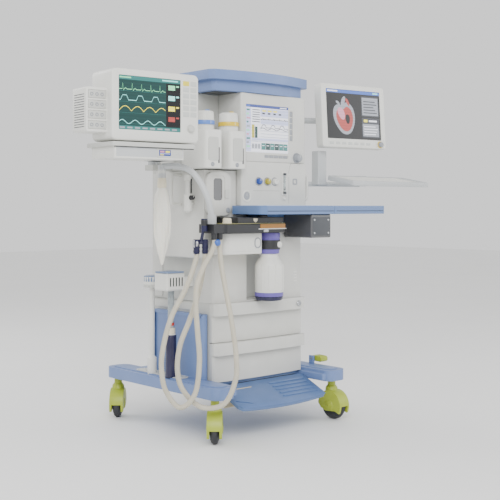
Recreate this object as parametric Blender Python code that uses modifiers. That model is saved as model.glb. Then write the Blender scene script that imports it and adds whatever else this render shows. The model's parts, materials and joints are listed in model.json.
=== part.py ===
"""Anesthesia machine on a wheeled base, with ventilator, vaporizers, breathing
system, drawers, a worktop and two screens on arms.

Metres, +Z up, the operator stands on the -Y side and +X is at the operator's
right. The origin is on the floor, under the middle of the machine's outline.
Run it with: blender --background --python part.py
"""

import math

import bmesh
import bpy
from mathutils import Matrix, Vector

# ---------------------------------------------------------------- clearances
GAP = 0.0003          # between pieces that touch
SLIDE_GAP = 0.002     # around drawers and wheels
PIN_GAP = 0.0006      # between a pin or a shaft and its hole
KEY_GAP = 0.0008      # around the power switch

# ------------------------------------------------------------ overall sizes
CABINET_HALF_WIDTH = 0.255
CABINET_FRONT = -0.200        # carcass edge, behind the drawer fronts
BODY_BACK = 0.195
BODY_TOP = 1.407
PANEL_FRONT = -0.222          # drawer and panel faces
BOW = 0.012                   # how far the faces bulge in the middle

# --------------------------------------------------------------------- base
RAIL_INNER = CABINET_HALF_WIDTH + 0.007
RAIL_WIDTH = 0.113
RAIL_OUTER = RAIL_INNER + RAIL_WIDTH
RAIL_HALF_LENGTH = 0.385
RAIL_BOTTOM = 0.176
RAIL_TOP = 0.222
FLOOR_TOP = 0.208             # plate that the cabinet stands on
PLATE_THICKNESS = 0.014
PLATE_LAP = 0.038             # how far the plate reaches under each rail
CHEEK_INNER = CABINET_HALF_WIDTH - 0.0095
CHEEK_TOP = FLOOR_TOP + 0.0025
CHEEK_FRONT = -0.360
SKIRT_TOP = 0.490
SKIRT_THICKNESS = 0.030
TRAY_HALF_WIDTH = CHEEK_INNER - 0.0015
TRAY_SLOPE = math.radians(24.0)
TRAY_BACK = (-0.232, 0.198)   # y, z of the tray's upper back edge
TRAY_LENGTH = 0.178
TRAY_THICKNESS = 0.012
PEDAL_PIVOT = (RAIL_OUTER - 0.003, -0.190, RAIL_TOP + 0.023)
PEDAL_WIDTH = 0.050

# ------------------------------------------------------------------ castors
WHEELBASE_X = RAIL_OUTER - 0.035      # half the distance between the castors
WHEELBASE_Y = RAIL_HALF_LENGTH - 0.050
WHEEL_RADIUS = 0.0625
WHEEL_WIDTH = 0.036
AXLE_RADIUS = 0.006
CASTOR_TRAIL = 0.012
HOOD_RADIUS = WHEEL_RADIUS + 0.003
HOOD_WIDTH = WHEEL_WIDTH + 0.024
LOOKING = math.radians(48.0)  # heading of the castors that stand turned

# ------------------------------------------------------------------ drawers
LOWER_DRAWER = (0.212, 0.373)     # bottom and top of its front
UPPER_DRAWER = (0.375, 0.535)
CABINET_TOP = UPPER_DRAWER[1]
BAND_HEIGHT = 0.0495              # the handle band along a front's upper edge
BAND_DEPTH = 0.025
WALL = 0.012
DRAWER_DEPTH = 0.320
DRAWER_WALL = 0.006
LOCK = (CABINET_HALF_WIDTH - 0.050, UPPER_DRAWER[1] - BAND_HEIGHT / 2)
LOCK_RADIUS = 0.012
LOCK_DEPTH = 0.006

# ------------------------------------------------- panels and upper machine
FRONT_PANEL_TOP = 0.862
RECESS = (-0.082, 0.100)
COLUMN_FRONT = -0.100
CONTROL = (-0.125, CABINET_HALF_WIDTH, 0.9363, 1.120)     # x0, x1, z0, z1
CONTROL_FRONT = -0.240
SCREEN_BOX = (-0.125, CABINET_HALF_WIDTH - 0.005, CONTROL[3] + GAP, BODY_TOP - GAP)
SCREEN_FRONT = -0.250
SCREEN = (-0.100, 0.146, 1.160, 1.360)
SCREEN_DEPTH = 0.008
CANOPY_TIER = 0.045
CANOPY_RIM = 0.038
CANOPY_OVERHANG = 0.025
SWITCH = (0.178, 0.192, 1.033, 1.047)
FLOW_KNOBS = (-0.029, 0.020, 0.064)
FLOW_KNOB_Z = 1.038
KNOB_RADIUS = 0.014

# --------------------------------------------------- ventilator, vaporizers
POD = (-CABINET_HALF_WIDTH - 0.045, CONTROL[0] - 0.0053, 0.720, 1.080)
POD_FRONT = -0.220
DOOR = (POD[0] + 0.002, -0.168, 0.895, 1.072)
DOOR_THICKNESS = 0.014
DOOR_WINDOW = (-0.260, -0.213, 0.957, 1.047)
CHAMBER = (POD[0] + 0.015, -0.180, 0.925, 1.062)
CHAMBER_BACK = -0.128
VAPORIZERS = (POD[0] - 0.002, -0.1725)
VAPORIZER_HALF_WIDTH = 0.045
VAPORIZER_FRONT = -0.275
VAPORIZER_BACK = -0.1305
VAPORIZER_BOTTOM = POD[3] + 0.005
VAPORIZER_TOP = 1.260
BAR_TOP = 1.112               # top of the bar that the vaporizers hang on
DIAL_RADIUS = 0.0425
DIAL_HEIGHT = 0.058

# --------------------------------------------------------- breathing system
BLOCK = (-0.315, 0.030, 0.825, 0.8885)
BLOCK_HEIGHT = 0.037
BLOCK_FRONT = -0.360
BLOCK_BACK = -0.2365
BOWL = (-0.275, -0.0640, 0.738)
BOWL_FRONT = -0.322
ADAPTER_X = -0.008
ADAPTER_Y = -0.292
ADAPTER_RADIUS = 0.046
ADAPTER = (0.7363, BLOCK[2] - GAP)
CANISTER_RADIUS = 0.060
CANISTER = (CABINET_TOP + 0.006, ADAPTER[0] - GAP)

# ----------------------------------------------------------------- worktop
WORKTOP = (-0.165, CABINET_HALF_WIDTH + 0.0015, 0.900, CONTROL[2] - GAP)
WORKTOP_FRONT = -0.420
LEAF_END = WORKTOP[1] + 0.3365
LEAF_BACK = -0.130

# ----------------------------------------------------------- grab handles
HANDLE_BAR = 0.007
HANDLE_REACH = 0.055


# ------------------------------------------- pieces at the machine's left side
NECK_END = -0.3605                           # left end of the block's port neck
HOSE_RADIUS = 0.011
Y_PARK = (-0.3745, -0.312, 0.862)
Y_SLEEVES = (Vector((-0.399, -0.294, 0.781)), Vector((-0.368, -0.309, 0.781)))
SLEEVE_DROP = 0.034
BAG_ARM_ROUTE = (
    (-0.322, -0.296, 0.8625), (-0.331, -0.294, 0.934), (POD[0] - 0.043, -0.284, 0.982),
    (POD[0] - 0.059, -0.263, 1.033), (POD[0] - 0.079, -0.232, 1.074), (POD[0] - 0.112, -0.192, 1.093),
    (POD[0] - 0.157, -0.146, 1.091),
)
SCAVENGE = (-CABINET_HALF_WIDTH - 0.083, -0.050)
JAR = (-CABINET_HALF_WIDTH - 0.081, 0.085)
FLOWMETER = (POD[0] - 0.025, -0.147)

# Routes of the two breathing hoses, from the parked Y-piece down and back up to the ports.
HOSE_A = (
    (-0.399, -0.294, 0.7467), (-0.399, -0.294, 0.7320), (-0.424, -0.296, 0.672), (-0.467, -0.301, 0.600),
    (-0.525, -0.295, 0.505), (-0.557, -0.287, 0.392), (-0.561, -0.283, 0.308), (-0.549, -0.294, 0.228),
    (-0.509, -0.330, 0.165), (-0.467, -0.369, 0.217), (-0.454, -0.380, 0.339), (-0.459, -0.375, 0.453),
    (-0.461, -0.367, 0.552), (-0.447, -0.359, 0.635), (-0.410, -0.354, 0.702), (-0.366, -0.344, 0.752),
    (-0.347, -0.340, 0.7880), (-0.347, -0.340, 0.8027),
)
HOSE_B = (
    (-0.368, -0.309, 0.7467), (-0.368, -0.309, 0.7320), (-0.372, -0.303, 0.690), (-0.383, -0.302, 0.636),
    (-0.407, -0.301, 0.563), (-0.440, -0.298, 0.483), (-0.478, -0.291, 0.396), (-0.493, -0.294, 0.302),
    (-0.479, -0.310, 0.225), (-0.427, -0.357, 0.160), (-0.362, -0.416, 0.171), (-0.329, -0.446, 0.264),
    (-0.327, -0.447, 0.360), (-0.332, -0.423, 0.501), (-0.328, -0.379, 0.633), (-0.322, -0.351, 0.714),
    (-0.320, -0.340, 0.7880), (-0.320, -0.340, 0.8027),
)

HOSE_PORTS = (HOSE_A[-1], HOSE_B[-1])

# ---------------------------------------------------- monitors and their arms
SHELF_PIVOT = (-CABINET_HALF_WIDTH - 0.140, -0.010)
SHELF_HUB = (1.104, 1.170)            # bottom and top
SHELF_TURN = math.radians(-4.0)
SHELF_TRAY = (SHELF_PIVOT[0] - 0.245, -0.262, 1.1585)
SHELF_THICKNESS = 0.016
MONITOR_CENTRE = Vector((SHELF_PIVOT[0] - 0.235, -0.345, 1.1725))     # bottom middle of its front
MONITOR_PIVOT = 0.080                 # behind the monitor's front
ARM_PIVOT = (CABINET_HALF_WIDTH + 0.024, -0.020)
ARM_HUB = (1.290, 1.370)
ARM_HEAD = (ARM_PIVOT[0] + 0.276, -0.1655)
SCREEN_CENTRE = Vector((ARM_HEAD[0] - 0.005, -0.268, 1.345))
SCREEN_TURN = math.radians(-8.0)
SCREEN_TILT = math.radians(-4.0)
KEY_PIVOT = (CABINET_HALF_WIDTH + 0.024, -0.075)
TRAY_HINGE = Vector((KEY_PIVOT[0] + 0.386, -0.2365, 1.0620))
KEY_HUB = (1.010, 1.066)
KEY_ROD_Z = 1.035
KEY_TILT = math.radians(10.0)


parts = bpy.data.collections.new("anesthesia_machine")
helpers = bpy.data.collections.new("cutters")


# ------------------------------------------------------------------ helpers
def clear_scene():
    for obj in list(bpy.data.objects):
        bpy.data.objects.remove(obj, do_unlink=True)
    bpy.context.scene.collection.children.link(parts)
    bpy.context.scene.collection.children.link(helpers)


def paint(obj, name, rgb, roughness=0.45, metallic=0.0):
    """Gives obj its own Principled material."""
    material = bpy.data.materials.new(name)
    material.use_nodes = True
    shader = material.node_tree.nodes["Principled BSDF"]
    shader.inputs["Base Color"].default_value = (*rgb, 1.0)
    shader.inputs["Roughness"].default_value = roughness
    shader.inputs["Metallic"].default_value = metallic
    obj.data.materials.clear()
    obj.data.materials.append(material)
    return obj


def add_mesh(name, shape):
    """Makes an object of a bmesh, in the parts collection."""
    mesh = bpy.data.meshes.new(name)
    shape.to_mesh(mesh)
    shape.free()
    obj = bpy.data.objects.new(name, mesh)
    parts.objects.link(obj)
    return obj


def box(name, low, high, corner=0.0, edge=0.0, steps=3):
    """A box from corner to corner: upright edges rounded by corner, all by edge."""
    low, high = Vector(low), Vector(high)
    shape = bmesh.new()
    size = Matrix.Diagonal((*(high - low), 1.0))
    bmesh.ops.create_cube(shape, size=1.0, matrix=Matrix.Translation((low + high) / 2) @ size)
    if corner:
        upright = [e for e in shape.edges if abs((e.verts[0].co - e.verts[1].co).z) > 1e-6]
        bmesh.ops.bevel(shape, geom=upright, offset=corner, segments=steps, affect="EDGES", profile=0.5)
    obj = add_mesh(name, shape)
    if edge:
        soften(obj, edge)
    return obj


def soften(obj, width, segments=1):
    bevel = obj.modifiers.new("soft_edges", "BEVEL")
    bevel.width = width
    bevel.segments = segments
    bevel.limit_method = "ANGLE"
    bevel.angle_limit = math.radians(50)
    return obj


def as_mesh(obj):
    """A curve made a welded mesh, in its own place."""
    bpy.context.view_layer.update()
    graph = bpy.context.evaluated_depsgraph_get()
    mesh = bpy.data.meshes.new_from_object(obj.evaluated_get(graph))
    shape = bmesh.new()
    shape.from_mesh(mesh)
    bmesh.ops.remove_doubles(shape, verts=shape.verts, dist=1e-5)
    bmesh.ops.recalc_face_normals(shape, faces=shape.faces)
    shape.to_mesh(mesh)
    shape.free()
    name, place = obj.name, obj.matrix_world.copy()
    bpy.data.objects.remove(obj, do_unlink=True)
    made = bpy.data.objects.new(name, mesh)
    made.matrix_world = place
    parts.objects.link(made)
    return made


PLANES = {
    "XY": Matrix.Identity(4),
    "XZ": Matrix.Rotation(math.radians(90), 4, "X"),
    "YZ": Matrix(((0, 0, 1, 0), (1, 0, 0, 0), (0, 1, 0, 0), (0, 0, 0, 1))),
}


def prism(name, outline, plane, start, end):
    """A flat outline drawn in a plane and extruded from start to end along the third axis."""
    curve = bpy.data.curves.new(name, "CURVE")
    curve.dimensions = "2D"
    curve.fill_mode = "BOTH"
    curve.extrude = abs(end - start) / 2
    spline = curve.splines.new("POLY")
    spline.points.add(len(outline) - 1)
    for point, (a, b) in zip(spline.points, outline):
        point.co = (a, b, 0.0, 1.0)
    spline.use_cyclic_u = True
    obj = bpy.data.objects.new(name, curve)
    parts.objects.link(obj)
    middle = (start + end) / 2 * (-1 if plane == "XZ" else 1)
    obj.matrix_world = PLANES[plane] @ Matrix.Translation((0, 0, middle))
    return as_mesh(obj)


def tube(name, points, radius, resolution=2):
    """A round bar along points, with closed ends."""
    curve = bpy.data.curves.new(name, "CURVE")
    curve.dimensions = "3D"
    curve.bevel_depth = radius
    curve.bevel_resolution = resolution
    curve.use_fill_caps = True
    spline = curve.splines.new("POLY")
    spline.points.add(len(points) - 1)
    for point, place in zip(spline.points, points):
        point.co = (*place, 1.0)
    obj = bpy.data.objects.new(name, curve)
    parts.objects.link(obj)
    return as_mesh(obj)


def turned(name, profile, place=(0, 0, 0), tilt=None, steps=20):
    """A profile of (radius, height) points, listed top to bottom, turned about Z."""
    shape = bmesh.new()
    verts = [shape.verts.new((r, 0.0, z)) for r, z in profile]
    for a, b in zip(verts, verts[1:]):
        shape.edges.new((a, b))
    obj = add_mesh(name, shape)
    screw = obj.modifiers.new("turn", "SCREW")
    screw.steps = screw.render_steps = steps
    screw.use_merge_vertices = True
    screw.merge_threshold = 1e-5
    obj.matrix_world = Matrix.Translation(place) @ (tilt or Matrix.Identity(4))
    return obj


def disc(name, radius, low, high, place, tilt=None, steps=20, chamfer=0.0):
    """A plain round slug from low to high along its axis."""
    c = chamfer
    profile = [(0, high), (radius, high), (radius, low), (0, low)]
    if c:
        profile[1:3] = [(radius - c, high), (radius, high - c), (radius, low + c), (radius - c, low)]
    return turned(name, profile, place, tilt, steps)


FACING = Matrix.Rotation(math.radians(90), 4, "X")      # turned axis +Z now points to -Y
SIDEWAYS = Matrix.Rotation(math.radians(90), 4, "Y")    # turned axis +Z now points to +X


def helper(obj):
    parts.objects.unlink(obj)
    helpers.objects.link(obj)
    obj.hide_render = True
    obj.display_type = "WIRE"
    return obj


def combine(base, others, operation="UNION"):
    for other in others:
        boolean = base.modifiers.new(other.name, "BOOLEAN")
        boolean.operation = operation
        boolean.object = helper(other)
    return base


def cut(base, *cutters):
    return combine(base, cutters, "DIFFERENCE")


def hollow(obj, low, high, frame=None):
    """Empties a casing through the side that the given box sticks out of."""
    space = box(obj.name + "_space", low, high)
    if frame:
        space.matrix_world = frame @ space.matrix_world
    return cut(obj, space)


def pivot(obj, point):
    """Moves an object's origin to a point on its joint's axis."""
    bpy.context.view_layer.update()
    local = obj.matrix_world.inverted() @ Vector(point)
    obj.data.transform(Matrix.Translation(-local))
    obj.matrix_world = obj.matrix_world @ Matrix.Translation(local)
    return obj


def arc(centre, radius, start, end, count):
    """Points along an arc, angles in degrees."""
    angles = [math.radians(start + (end - start) * i / count) for i in range(count + 1)]
    return [(centre[0] + radius * math.cos(a), centre[1] + radius * math.sin(a)) for a in angles]


def bowed_front(half_width, front, bow, back, count=8):
    """Outline in XY: straight back, front bulging by bow in the middle."""
    across = [-half_width + 2 * half_width * i / count for i in range(count + 1)]
    face = [(x, front - bow * (1 - (x / half_width) ** 2)) for x in across]
    return face + [(half_width, back), (-half_width, back)]


def smooth_path(points, spacing):
    """Evenly spread points on a Catmull-Rom curve through points."""
    points = [Vector(p) for p in points]
    ends = [2 * points[0] - points[1]] + points + [2 * points[-1] - points[-2]]
    fine = []
    for p0, p1, p2, p3 in zip(ends, ends[1:], ends[2:], ends[3:]):
        for i in range(20):
            t = i / 20
            fine.append(
                0.5 * (2 * p1 + (p2 - p0) * t + (2 * p0 - 5 * p1 + 4 * p2 - p3) * t * t
                       + (3 * p1 - p0 - 3 * p2 + p3) * t ** 3)
            )
    fine.append(points[-1])
    length = sum((b - a).length for a, b in zip(fine, fine[1:]))
    count = max(2, round(length / spacing))
    even, walked, target = [fine[0]], 0.0, length / count
    for a, b in zip(fine, fine[1:]):
        step = (b - a).length
        while walked + step >= target * len(even) - 1e-9 and len(even) < count:
            even.append(a.lerp(b, (target * len(even) - walked) / step))
        walked += step
    return even + [fine[-1]]


# --------------------------------------------------------------------- base
def base_chassis():
    """Two long side rails, the plate between them and the skirt on the left side."""
    blue = box("base_chassis", (-RAIL_OUTER, -RAIL_HALF_LENGTH, RAIL_BOTTOM),
               (-RAIL_INNER, RAIL_HALF_LENGTH, RAIL_TOP), corner=0.030, edge=0.006)
    right = box("base_rail", (RAIL_INNER, -RAIL_HALF_LENGTH, RAIL_BOTTOM),
                (RAIL_OUTER, RAIL_HALF_LENGTH, RAIL_TOP), corner=0.030, edge=0.006)
    reach = RAIL_INNER + PLATE_LAP
    plate = box("base_plate", (-reach, CABINET_FRONT - 0.006, FLOOR_TOP - PLATE_THICKNESS),
                (reach, RAIL_HALF_LENGTH - 0.045, FLOOR_TOP))
    cheeks = []
    for side in (-1, 1):
        x0, x1 = sorted((side * CHEEK_INNER, side * (RAIL_INNER + 0.028)))
        cheeks.append(box("base_cheek", (x0, CHEEK_FRONT, RAIL_BOTTOM + 0.003),
                          (x1, CABINET_FRONT - 0.002, CHEEK_TOP)))
    skirt = box("base_skirt",
                (-CABINET_HALF_WIDTH - GAP - SKIRT_THICKNESS, -0.194, RAIL_TOP - 0.010),
                (-CABINET_HALF_WIDTH - GAP, 0.150, SKIRT_TOP), edge=0.008)
    x, y, z = PEDAL_PIVOT
    lug = box("pedal_lug", (x - PEDAL_WIDTH / 2 - 0.010, y - 0.015, RAIL_TOP - 0.010),
              (x - PEDAL_WIDTH / 2, y + 0.015, z + 0.012))
    combine(blue, [right, plate, *cheeks, skirt, lug])
    for side in (-1, 1):
        x0, x1 = sorted((side * (RAIL_INNER + 0.030), side * (RAIL_OUTER - 0.010)))
        hollow(blue, (x0, -0.250, RAIL_BOTTOM - 0.01), (x1, 0.250, RAIL_TOP - 0.008))
    return paint(blue, "blue_paint", (0.105, 0.190, 0.420), 0.40)


def footrest():
    """Sloping tray between the front castors, with ribs on its right half and a kick plate."""
    outline = bowed_front(TRAY_HALF_WIDTH, -TRAY_LENGTH + BOW, BOW * 1.6, 0.0)
    tray = prism("footrest", outline, "XY", -TRAY_THICKNESS, 0.0)
    ribs = [
        box("rib", (0.020, -TRAY_LENGTH + 0.045 + 0.024 * i, -0.004),
            (TRAY_HALF_WIDTH - 0.019, -TRAY_LENGTH + 0.052 + 0.024 * i, 0.003))
        for i in range(5)
    ]
    place = Matrix.Translation((0, *TRAY_BACK)) @ Matrix.Rotation(TRAY_SLOPE, 4, "X")
    for piece in [tray, *ribs]:
        piece.matrix_world = place @ piece.matrix_world
    kick = box("kick_plate", (-0.230, -0.268, 0.1135), (-0.085, -0.258, 0.184))
    combine(tray, [*ribs, kick])
    return paint(tray, "blue_plastic", (0.120, 0.215, 0.450), 0.45)


def brake_pedal():
    """Lime central-brake pedal above the right rail, on a pin in the rail's lug."""
    x, y, z = PEDAL_PIVOT
    left = x - PEDAL_WIDTH / 2
    side = [(y - 0.052, z - 0.008), (y - 0.006, z - 0.010), (y + 0.010, z), (y - 0.004, z + 0.012),
            (y - 0.048, z + 0.014)]
    pedal = prism("brake_pedal", side, "YZ", left + SLIDE_GAP, x + PEDAL_WIDTH / 2)
    pin = disc("pedal_pin", AXLE_RADIUS, GAP, PEDAL_WIDTH + 0.004, (left, y, z), SIDEWAYS, 12)
    combine(pedal, [pin])
    pivot(pedal, PEDAL_PIVOT)
    return paint(pedal, "lime_plastic", (0.56, 0.68, 0.05), 0.4)


def castor(corner, side_x, side_y, heading):
    """Hooded fork on its swivel axis, and the wheel on the fork's axle."""
    contact = Vector((side_x * WHEELBASE_X, side_y * WHEELBASE_Y, 0.0))
    ahead = Vector((math.cos(heading), math.sin(heading), 0.0))
    stem = contact + ahead * CASTOR_TRAIL
    turn = Matrix.Translation(stem) @ Matrix.Rotation(heading, 4, "Z")
    # side view in the fork's own XZ plane, wheel centre behind the stem
    hub = (-CASTOR_TRAIL, WHEEL_RADIUS)
    hood = arc(hub, HOOD_RADIUS, 12, 205, 12)
    hood += [(hub[0] - 0.030, hub[1] - 0.020), (hub[0] + 0.024, hub[1] - 0.022)]
    fork = prism("castor_fork_" + corner, hood, "XZ", -HOOD_WIDTH / 2, HOOD_WIDTH / 2)
    stub = disc("stem_" + corner, 0.020, 0.100, RAIL_BOTTOM - GAP, (0, 0, 0), None, 16)
    slot = prism("wheel_slot_" + corner, arc(hub, WHEEL_RADIUS + SLIDE_GAP * 0.75, 0, 337.5, 15), "XZ",
                 -WHEEL_WIDTH / 2 - SLIDE_GAP, WHEEL_WIDTH / 2 + SLIDE_GAP)
    below = box("below_" + corner, (hub[0] - 0.09, -WHEEL_WIDTH / 2 - SLIDE_GAP, -0.02),
                (hub[0] + 0.09, WHEEL_WIDTH / 2 + SLIDE_GAP, hub[1]))
    axle = disc("axle_" + corner, AXLE_RADIUS, -HOOD_WIDTH / 2 + 0.004, HOOD_WIDTH / 2 - 0.004,
                (hub[0], 0, hub[1]), FACING, 12)
    for piece in (fork, stub, slot, below, axle):
        piece.matrix_world = turn @ piece.matrix_world
    combine(fork, [stub])
    cut(fork, slot, below)
    combine(fork, [axle])
    pivot(fork, stem)
    paint(fork, "lime_plastic", (0.56, 0.68, 0.05), 0.4)
    half = WHEEL_WIDTH / 2
    bore = AXLE_RADIUS + PIN_GAP
    hub_edge, tread_edge = WHEEL_RADIUS - 0.0185, WHEEL_RADIUS - 0.0045
    section = [(bore, half), (hub_edge, half), (hub_edge + 0.006, half - 0.003), (tread_edge, half - 0.003),
               (WHEEL_RADIUS, half - 0.009), (WHEEL_RADIUS, -half + 0.009), (tread_edge, -half + 0.003),
               (hub_edge + 0.006, -half + 0.003), (hub_edge, -half), (bore, -half), (bore, half)]
    wheel = turned("castor_wheel_" + corner, section, (hub[0], 0, hub[1]), FACING, 24)
    wheel.matrix_world = turn @ wheel.matrix_world
    paint(wheel, "black_rubber", (0.02, 0.02, 0.022), 0.6)
    return [fork, wheel]


# ----------------------------------------------------- cabinet and drawers
def cabinet():
    """Open-fronted carcass with a shelf between its two drawer bays."""
    w = CABINET_HALF_WIDTH
    carcass = box("cabinet", (-w, CABINET_FRONT, FLOOR_TOP + GAP), (w, BODY_BACK, CABINET_TOP))
    back = CABINET_FRONT + DRAWER_DEPTH + 0.010
    bays = []
    for low, high in (LOWER_DRAWER, UPPER_DRAWER):
        bays.append(box("drawer_bay", (-w + WALL, CABINET_FRONT - 0.01, low + 0.008),
                        (w - WALL, back, high - 0.004)))
    cut(carcass, *bays)
    hollow(carcass, (-w + WALL, back + WALL, FLOOR_TOP + WALL),
           (w - WALL, BODY_BACK + 0.01, CABINET_TOP - WALL))
    return paint(carcass, "white_enamel", (0.72, 0.72, 0.70), 0.45)


def drawer(name, low, high):
    """Bowed front with its handle band, and the open box behind it."""
    w = CABINET_HALF_WIDTH
    face = prism(name, bowed_front(w, PANEL_FRONT, BOW, CABINET_FRONT - GAP), "XY", low, high)
    band = prism("band", bowed_front(w + 0.005, PANEL_FRONT - BAND_DEPTH, BOW, PANEL_FRONT + 0.004), "XY",
                 high - BAND_HEIGHT, high)
    soften(band, 0.008)
    slot = bowed_front(w - 0.030, PANEL_FRONT - BAND_DEPTH + 0.006, BOW, PANEL_FRONT - BOW)
    finger = prism("finger_gap", slot, "XY", high - BAND_HEIGHT - 0.01, high - 0.014)
    inner = w - WALL - SLIDE_GAP
    tub = box("tub", (-inner, CABINET_FRONT - 0.012, low + 0.010),
              (inner, CABINET_FRONT + DRAWER_DEPTH, high - 0.020))
    space = box("tub_space", (-inner + DRAWER_WALL, CABINET_FRONT + 0.001, low + 0.010 + DRAWER_WALL),
                (inner - DRAWER_WALL, CABINET_FRONT + DRAWER_DEPTH - DRAWER_WALL, high + 0.05))
    combine(face, [band, tub])
    cut(face, finger, space)
    return paint(face, "white_enamel", (0.74, 0.74, 0.72), 0.42)


def drawer_lock():
    """Round barrel on the upper drawer's band, clear of the bow at the barrel's inner edge."""
    x, z = LOCK
    inner = (x - LOCK_RADIUS) / (CABINET_HALF_WIDTH + 0.005)
    y = PANEL_FRONT - BAND_DEPTH - BOW * (1 - inner ** 2) - GAP
    lock = disc("drawer_lock", LOCK_RADIUS, 0.0, LOCK_DEPTH, (x, y, z), FACING, 16, 0.001)
    front = y - LOCK_DEPTH
    slot = box("key_slot", (x - 0.0012, front - 0.001, z - 0.006), (x + 0.0012, front + 0.0018, z + 0.006))
    cut(lock, slot)
    pivot(lock, (x, y, z))
    return paint(lock, "chrome", (0.55, 0.55, 0.56), 0.25, 1.0)


def front_panel():
    """Panel between the drawers and the breathing system, with the absorber's recess."""
    w = CABINET_HALF_WIDTH
    panel = prism("front_panel", bowed_front(w, PANEL_FRONT, BOW, COLUMN_FRONT - GAP), "XY",
                  CABINET_TOP + GAP, FRONT_PANEL_TOP)
    soften(panel, 0.004)
    recess = box("absorber_recess", (RECESS[0], -0.30, CABINET_TOP + 0.006),
                 (RECESS[1], -0.145, FRONT_PANEL_TOP + 0.01), corner=0.01)
    cut(panel, recess)
    for x0, x1 in ((-w + WALL, RECESS[0] - WALL), (RECESS[1] + WALL, w - WALL)):
        hollow(panel, (x0, PANEL_FRONT + WALL, CABINET_TOP + WALL),
               (x1, COLUMN_FRONT + 0.01, FRONT_PANEL_TOP - WALL))
    return paint(panel, "white_enamel", (0.70, 0.70, 0.68), 0.45)


def upper_housing():
    """The tall column behind everything, from the cabinet to the canopy."""
    w = CABINET_HALF_WIDTH
    column = box("upper_housing", (-w, COLUMN_FRONT, CABINET_TOP + GAP), (w, BODY_BACK, BODY_TOP))
    on_pod = POD[3] + GAP
    shelf = box("vaporizer_bar", (VAPORIZERS[0] - 0.050, VAPORIZER_BACK + GAP, on_pod),
                (CONTROL[0] - GAP, COLUMN_FRONT + 0.02, BAR_TOP))
    side = box("left_wing", (-w - 0.023, COLUMN_FRONT + 0.002, on_pod), (-w + 0.01, 0.150, BODY_TOP))
    bracket = box("shelf_bracket", (SHELF_PIVOT[0] - 0.027, SHELF_PIVOT[1] - 0.027, on_pod),
                  (-w - 0.015, SHELF_PIVOT[1] + 0.027, SHELF_HUB[0] - GAP))
    screen_lug = box("screen_lug", (w - 0.01, ARM_PIVOT[1] - 0.022, ARM_HUB[0] - 0.030),
                     (ARM_PIVOT[0] + 0.022, ARM_PIVOT[1] + 0.022, ARM_HUB[0] - GAP))
    key_lug = box("key_lug", (w - 0.01, KEY_PIVOT[1] - 0.021, KEY_HUB[0] - 0.030),
                  (KEY_PIVOT[0] + 0.020, KEY_PIVOT[1] + 0.021, KEY_HUB[0] - GAP))
    soften(column, 0.004)
    combine(column, [shelf, side, bracket, screen_lug, key_lug])
    hollow(column, (-w + WALL, COLUMN_FRONT + WALL, CABINET_TOP - 0.01),
           (w - WALL, BODY_BACK - WALL, BODY_TOP - WALL))
    return paint(column, "white_enamel", (0.72, 0.72, 0.70), 0.45)


def canopy():
    """Two-tier hood: a tier as wide as the body under a wider rim, both with bowed fronts."""
    w = CABINET_HALF_WIDTH
    base = BODY_TOP + GAP
    tier = prism("canopy", bowed_front(w, -0.225, 0.036, BODY_BACK), "XY", base, base + CANOPY_TIER)
    rim = prism("canopy_rim", bowed_front(w + CANOPY_OVERHANG, -0.240, 0.045, BODY_BACK + 0.01), "XY",
                base + CANOPY_TIER - 0.001, base + CANOPY_TIER + CANOPY_RIM)
    soften(tier, 0.004)
    soften(rim, 0.004)
    combine(tier, [rim])
    hollow(tier, (-w + WALL, COLUMN_FRONT + WALL, base - 0.01),
           (w - WALL, BODY_BACK - WALL, base + CANOPY_TIER + CANOPY_RIM - WALL))
    return paint(tier, "blue_paint", (0.125, 0.215, 0.450), 0.4)


def control_panel():
    x0, x1, z0, z1 = CONTROL
    panel = box("control_panel", (x0, CONTROL_FRONT, z0), (x1, COLUMN_FRONT - GAP, z1), edge=0.004)
    tube_boss = box("flow_tube_boss", (0.106, CONTROL_FRONT - 0.010, 0.985),
                    (0.131, CONTROL_FRONT + 0.01, 1.076), edge=0.002)
    combine(panel, [tube_boss])
    s0, s1, s2, s3 = SWITCH
    cut(panel, box("switch_pocket", (s0 - KEY_GAP, CONTROL_FRONT - 0.01, s2 - KEY_GAP),
                   (s1 + KEY_GAP, CONTROL_FRONT + 0.005, s3 + KEY_GAP)))
    hollow(panel, (x0 + WALL, CONTROL_FRONT + WALL, z0 + WALL), (x1 - WALL, COLUMN_FRONT + 0.01, z1 - WALL))
    return paint(panel, "white_enamel", (0.74, 0.74, 0.72), 0.42)


def screen_housing():
    x0, x1, z0, z1 = SCREEN_BOX
    housing = box("screen_housing", (x0, SCREEN_FRONT, z0), (x1, COLUMN_FRONT - GAP, z1), edge=0.006)
    a0, a1, b0, b1 = SCREEN
    pocket = box("screen_pocket", (a0, SCREEN_FRONT - 0.01, b0), (a1, SCREEN_FRONT + SCREEN_DEPTH, b1))
    cut(housing, pocket)
    hollow(housing, (x0 + WALL, SCREEN_FRONT + SCREEN_DEPTH + 0.004, z0 + WALL),
           (x1 - WALL, COLUMN_FRONT + 0.01, z1 - WALL))
    return paint(housing, "white_enamel", (0.74, 0.74, 0.72), 0.42)


def display():
    a0, a1, b0, b1 = SCREEN
    pane = box("display", (a0 + GAP, SCREEN_FRONT + 0.002, b0 + GAP),
               (a1 - GAP, SCREEN_FRONT + SCREEN_DEPTH - GAP, b1 - GAP))
    return paint(pane, "screen_glass", (0.55, 0.58, 0.72), 0.15)


def knob(name, radius, depth, place, rgb, steps=16, tilt=FACING):
    """A round knob with a grip ridge; it stands in front of the face that it turns on."""
    x, y, z = place
    offset = tilt @ Vector((0, 0, GAP))
    piece = disc(name, radius, 0.0, depth, Vector(place) + offset, tilt, steps, min(0.002, radius / 6))
    ridge = box(name + "_ridge", (-radius * 0.22, -radius * 0.80, depth - 0.001),
                (radius * 0.22, radius * 0.80, depth + 0.0025))
    ridge.matrix_world = Matrix.Translation(Vector(place) + offset) @ tilt
    combine(piece, [ridge])
    return paint(piece, name + "_plastic", rgb, 0.35)


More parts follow.
